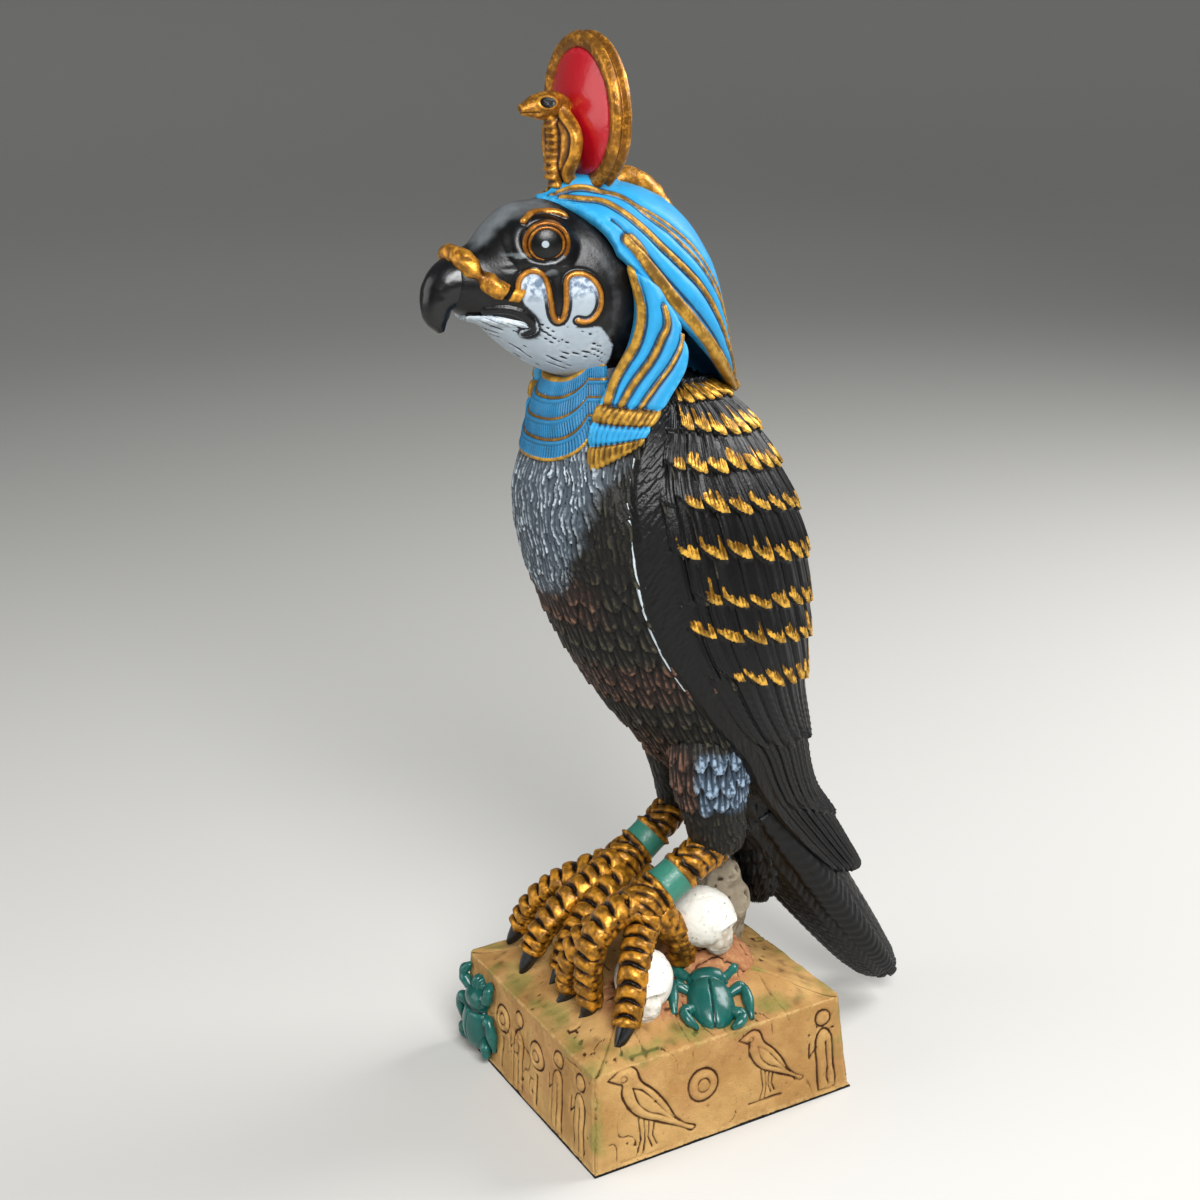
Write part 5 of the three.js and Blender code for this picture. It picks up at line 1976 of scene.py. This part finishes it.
def plinth_shape():
    half = PLINTH["side"] / 2
    edge = half - PLINTH["inset"]
    total = sum(ROWS.values())
    starts = np.concatenate([[0], np.cumsum(COLUMNS)]) / sum(COLUMNS)

    def shape(u, v):
        turn = np.interp(u, starts, [0, 1, 2, 3, 4])
        quarter = np.minimum(np.floor(turn), 3)
        along = (turn - quarter) * 2 - 1
        row = v * total
        under = clamp(row / ROWS["under"])
        up = clamp((row - ROWS["under"]) / ROWS["side"])
        roof = clamp((row - ROWS["under"] - ROWS["side"]) / ROWS["roof"])
        size = np.where(roof > 0, edge * (1 - roof), mix(half, edge, up) * under)
        z = np.where(roof > 0, 0, PLINTH["crease"] * up)
        x, y = size, along * size
        on_side = (roof <= 0) & (under >= 1)
        z = np.where(roof > 0, roof_height(x, y), z)
        c, s = np.cos(quarter * math.pi / 2), np.sin(quarter * math.pi / 2)
        points = points_of(np.rint(c) * x - np.rint(s) * y, np.rint(s) * x + np.rint(c) * y, z)
        flat = np.stack([along * size, z], axis=-1)
        height = np.zeros(len(points))
        for side, signs in CARVED.items():
            mine = on_side & (quarter == side)
            for raised, lines in signs:
                groove = np.full(mine.sum(), 9.0)
                for line in lines:
                    away, _ = to_line(flat[mine], line)
                    groove = np.minimum(groove, away)
                body = np.max([inside(flat[mine], outline) for outline in raised], axis=0)
                worn = 0.75 + 0.35 * grain(points[mine], 5.0, 119)
                height[mine] += dent(groove, 0.36, 0.7) * worn + 0.45 * smooth(0.1, 1.4, body)
        flaws = 0.25 * grain(points, 5.0, 121) + 0.12 * grain(points, 1.6, 122)
        pits = -0.5 * smooth(0.55, 0.8, grain(points, 1.3, 123)) * smooth(0.1, 0.5, grain(points, 7.0, 124))
        cracked = smooth(0.06, 0.0, np.abs(grain(points, 6.0, 125)))
        cracks = -0.35 * cracked * smooth(0, 0.4, grain(points, 15.0, 126))
        ground = np.linalg.norm((points - [16, -2, 32]) * [1, 0.62, 0.5], axis=-1)
        loose = smooth(16, 10, ground) * (roof > 0)
        crumbs = loose * (0.9 * np.abs(grain(points, 2.6, 127)) + 0.6 * np.abs(grain(points, 1.2, 128)))
        worn_edge = -0.9 * smooth(0.96, 1.0, np.abs(along)) * (1 - 0.5 * roof) * (z > 1)
        height = height + (flaws + pits + cracks) * (z > 0.5) + crumbs + worn_edge
        by_crease = smooth(5.0, 0.5, np.abs(z - PLINTH["crease"]) + 3 * roof)
        creased = np.maximum(by_crease, smooth(0.8, 1, np.abs(along)))
        marks = {
            "moss": 0.7 * creased * (z > 1) - 0.12,
            "pink": 0.9 * loose + 0.35 * smooth(0, 0.6, grain(points, 12.0, 129)),
            # Black up to 0.7 mm on the sides: a painted shadow line along the floor.
            "base": 0.7 - z,
        }
        return points, height, marks

    return skin("plinth", sum(COLUMNS), total, shape, 24)


piece("plinth_block", plinth_shape(), SANDSTONE, "plinth", 106)

# %% [markdown]
# ## What lies on the plinth
#
# A mound of rubble and a rock carry the tail's end of the casting. Two skulls lie in the rubble, and two
# scarab beetles crawl on the stone. All are balls that were pushed into shape.

# %% Balls
def ball_mesh(centre, radii, columns, rows, relief, marks, turn=0.0, rounds=20):
    """A ball with three radii, turned about Z. relief and marks are asked for the direction too."""
    c, s = math.cos(math.radians(turn)), math.sin(math.radians(turn))

    def shape(u, v):
        lift, around = math.pi * (v - 0.5), 2 * math.pi * u
        way = points_of(np.cos(lift) * np.cos(around), np.cos(lift) * np.sin(around), np.sin(lift))
        x, y, z = (way * radii).T
        points = np.array(centre) + points_of(c * x - s * y, s * x + c * y, z)
        return points, relief(points, way), marks(points, way)

    return skin("ball", columns, rows, shape, rounds)


MOUND = {"centre": [9.6, 12.4, 29.6], "radii": [14, 13.4, 11]}
ROCK = {"centre": [4, 20.4, 44], "radii": [8.6, 8, 17]}


def rubble_relief(points, way):
    lumps = 0.7 * np.abs(grain(points, 3.4, 131)) + 0.5 * np.abs(grain(points, 1.4, 132))
    ridges = -0.7 * smooth(0.15, 0.0, np.abs(grain(points * [1, 1, 0.6], 3.2, 133)))
    return lumps + ridges


def rubble_marks(points, way):
    return {"moss": 0.0, "pink": 1.0, "base": -3.0}


def rock_relief(points, way):
    rough = 1.08 * np.sin(7 * way[:, 0] + 3 * way[:, 1]) * np.cos(5 * way[:, 2] - 4 * way[:, 1])
    facets = 1.6 * grain(points, 6.0, 135) + 0.5 * grain(points, 2.0, 136)
    pits = -0.8 * smooth(0.35, 0.7, grain(points, 1.6, 137))
    return rough + facets + pits


mound = ball_mesh(MOUND["centre"], MOUND["radii"], 180, 90, rubble_relief, rubble_marks)
piece("rubble", mound, SANDSTONE, "plinth", 10)
rock = ball_mesh(ROCK["centre"], ROCK["radii"], 150, 110, rock_relief, rubble_marks)
piece("rock", rock, ROCK_PAINT, "plinth", 10)

# %% Skulls
# The last number of each skull makes its bone paint darker all over.
SKULLS = {
    "skull_back": {"centre": [15, 8.4, 50], "radius": 8.4, "heading": 48, "dirt": 0.3},
    "skull_front": {"centre": [21, -13.6, 40.6], "radius": 8.2, "heading": -30, "dirt": 0.1},
}


def skull_mesh(centre, radius, heading, dirt):
    turn = math.radians(heading)
    out = np.array([math.cos(turn), math.sin(turn), 0])
    side = np.array([-math.sin(turn), math.cos(turn), 0])

    def local(points):
        away = (points - centre) / radius
        return np.stack([away @ out, np.abs(away @ side), away[:, 2]], axis=-1)

    def hollows(at):
        socket = np.linalg.norm((at - [0.96, 0.36, -0.3]) * [1, 1, 1.15], axis=-1)
        nose = np.linalg.norm((at - [1.02, 0, -0.62]) * [1, 1.6, 1], axis=-1)
        return socket, nose

    def relief(points, way):
        at = local(points)
        socket, nose = hollows(at)
        sunk = 0.34 * np.exp(-((socket / 0.24) ** 2)) + 0.16 * np.exp(-((nose / 0.14) ** 2))
        face = -radius * sunk
        brow = radius * 0.07 * np.exp(-(((at[:, 2] + 0.02) / 0.1) ** 2)) * smooth(0.6, 0.9, at[:, 0])
        seam = dent(grain(points, 7.0, 141) * 4, 0.28, 0.22) * smooth(0, 0.4, at[:, 2])
        return face + brow + seam + 0.12 * grain(points, 3.0, 142)

    def marks(points, way):
        socket, nose = hollows(local(points))
        black = radius * np.maximum(0.2 - socket, 0.09 - nose)
        # Darker towards the underside, on top of the skull's own amount.
        return {"black": black, "dirt": dirt + 0.3 * smooth(0, -0.8, way[:, 2])}

    def jaw_relief(points, way):
        at = local(points)
        teeth = 0.4 * np.abs(np.sin(at[:, 1] * 22)) * smooth(0.12, 0.0, np.abs(at[:, 2] + 0.86))
        bite = dent(at[:, 2] + 0.86, 0.03, 0.5) * smooth(0.2, 0.6, at[:, 0])
        return teeth + bite + 0.15 * grain(points, 2.0, 143)

    def jaw_marks(points, way):
        return {"black": -3.0, "dirt": dirt + 0.35}

    dome = ball_mesh(centre, np.array([1.06, 0.96, 1]) * radius, 110, 70, relief, marks, heading)
    jaw_at = np.array(centre) + radius * (0.5 * out + np.array([0, 0, -0.62]))
    jaw = ball_mesh(jaw_at, np.array([0.5, 0.56, 0.68]) * radius, 60, 50, jaw_relief, jaw_marks, heading)
    return joined("skull", [dome, jaw])


for name, skull in SKULLS.items():
    piece(name, skull_mesh(**skull), BONE, "plinth", 13)

# %% Scarabs
SCARAB = {
    "x": 25,
    "y": 4.2,
    "heading": 156,
    "front": -28.6,
    "rise": 13,
    "legs": [
        [[5, 4, 0.8], [9, 8, 2], [12.6, 6.4, 0.8]],
        [[0, 5, 0.8], [1, 9.4, 2], [-7.4, 10.4, 0.6]],
        [[-5, 4, 0.8], [-8.4, 7.8, 2], [-11.4, 4.6, 0.6]],
    ],
}


def on_roof(at):
    """Forward, right and up on the beetle's own body, as a place on the plinth's roof."""
    forward, right, up = np.asarray(at, float).T
    turn = math.radians(SCARAB["heading"])
    x = SCARAB["x"] + forward * math.cos(turn) + right * math.sin(turn)
    y = SCARAB["y"] + forward * math.sin(turn) - right * math.cos(turn)
    return points_of(x, y, roof_height(x, y) + up)


def on_front(at):
    """The same on the plinth's front side, where the beetle climbs up."""
    forward, right, up = np.asarray(at, float).T
    slope = math.atan2(PLINTH["inset"], PLINTH["crease"])
    rise = SCARAB["rise"] + forward
    out = PLINTH["side"] / 2 - rise * math.sin(slope) + up * math.cos(slope)
    return points_of(SCARAB["front"] + right, -out, rise * math.cos(slope) + up * math.sin(slope))


def domed(place, forward, up, length, width, height, relief):
    def shape(u, v):
        lift, around = math.pi * (v - 0.5), 2 * math.pi * u
        way = points_of(np.cos(lift) * np.cos(around), np.cos(lift) * np.sin(around), np.sin(lift))
        at = np.array([forward, 0, up]) + way * [length, width, height]
        return place(at), relief(at), {}

    return skin("dome", 90, 56, shape, 16)


def wing_cases(at):
    forward, right, _ = at.T
    seam = dent(right, 0.32, 0.7) * smooth(1.8, 1.0, forward)
    return seam + dent(forward - 2.2, 0.4, 0.7) + 0.06 * grain(at, 1.2, 149)


def shield(at):
    return 0.1 * grain(at, 1.6, 151) + dent(np.abs(at[:, 1]) - 4.6, 0.4, 0.25)


def brow_plate(at):
    return 0.25 * np.cos(at[:, 1] * 4.2)


def scarab_mesh(place):
    parts = [
        domed(place, -3, 0.6, 8, 6.4, 4.4, wing_cases),
        domed(place, 5, 0.6, 3.6, 5.8, 3.8, shield),
        domed(place, 9, 0.4, 2.6, 3, 2.2, brow_plate),
    ]
    upright = unit(place([[0, 0, 1]])[0] - place([[0, 0, 0]])[0])
    for hand in (1, -1):
        for leg in SCARAB["legs"]:
            path = place([[forward, hand * right, up] for forward, right, up in leg])
            follow, _ = limb(path, upright)

            def around_leg(along, angle, share):
                thick = np.interp(along, [0, 0.35, 0.5, 0.75, 1], [1.3, 1.8, 1.25, 1.6, 0.6]) * share
                return follow(along, angle, thick, thick), 0 * along, {}

            parts.append(tube("leg", 24, 44, around_leg, 8))
    return joined("scarab", parts)


piece("scarab_roof", scarab_mesh(on_roof), SCARAB_GREEN, "plinth", 14)
piece("scarab_front", scarab_mesh(on_front), SCARAB_GREEN, "plinth", 12)

# %% [markdown]
# ## Floor and light
#
# The floor is plain and pale, and it curves up far away on every side, so no horizon shows from any
# angle. Three soft lamps stand round the statue: a large one above its left side, a weak one in front,
# and one behind to draw the edges of the black feathers.

# %% Floor and lights
FLOOR = [[0, 0], [0.9, 0], [1.5, 0.02], [2.1, 0.16], [2.6, 0.6], [2.9, 1.3], [3, 2.2]]
bm = spun(curved(FLOOR, 6), 64)
floor_mesh = bpy.data.meshes.new("floor")
bm.to_mesh(floor_mesh)
bm.free()
floor_mesh.flip_normals()
floor_mesh.shade_smooth()
floor = bpy.data.objects.new("floor", floor_mesh)
bpy.context.scene.collection.objects.link(floor)
floor_mesh.materials.append(new_material("pale floor", Base_Color=colour("#c4c3bf"), Roughness=0.9)[0])

LAMPS = {
    "key": {"from": (640, -180, 620), "size": 0.4, "watts": 10},
    "fill": {"from": (-200, -700, 380), "size": 0.6, "watts": 2.5},
    "back": {"from": (60, 640, 560), "size": 0.4, "watts": 6},
}
for name, lamp in LAMPS.items():
    data = bpy.data.lights.new(name, "AREA")
    data.size = lamp["size"]
    data.energy = lamp["watts"]
    light = bpy.data.objects.new(name, data)
    bpy.context.scene.collection.objects.link(light)
    start = Vector(lamp["from"]) * MM
    aim = Vector((0, 0, 0.14)) - start
    light.matrix_world = Matrix.Translation(start) @ aim.to_track_quat("-Z", "Y").to_matrix().to_4x4()

world = bpy.data.worlds.new("studio")
world.use_nodes = True
world.node_tree.nodes["Background"].inputs["Color"].default_value = colour("#dfe3e6")
world.node_tree.nodes["Background"].inputs["Strength"].default_value = 0.25
bpy.context.scene.world = world
bpy.context.scene.view_settings.view_transform = "Standard"
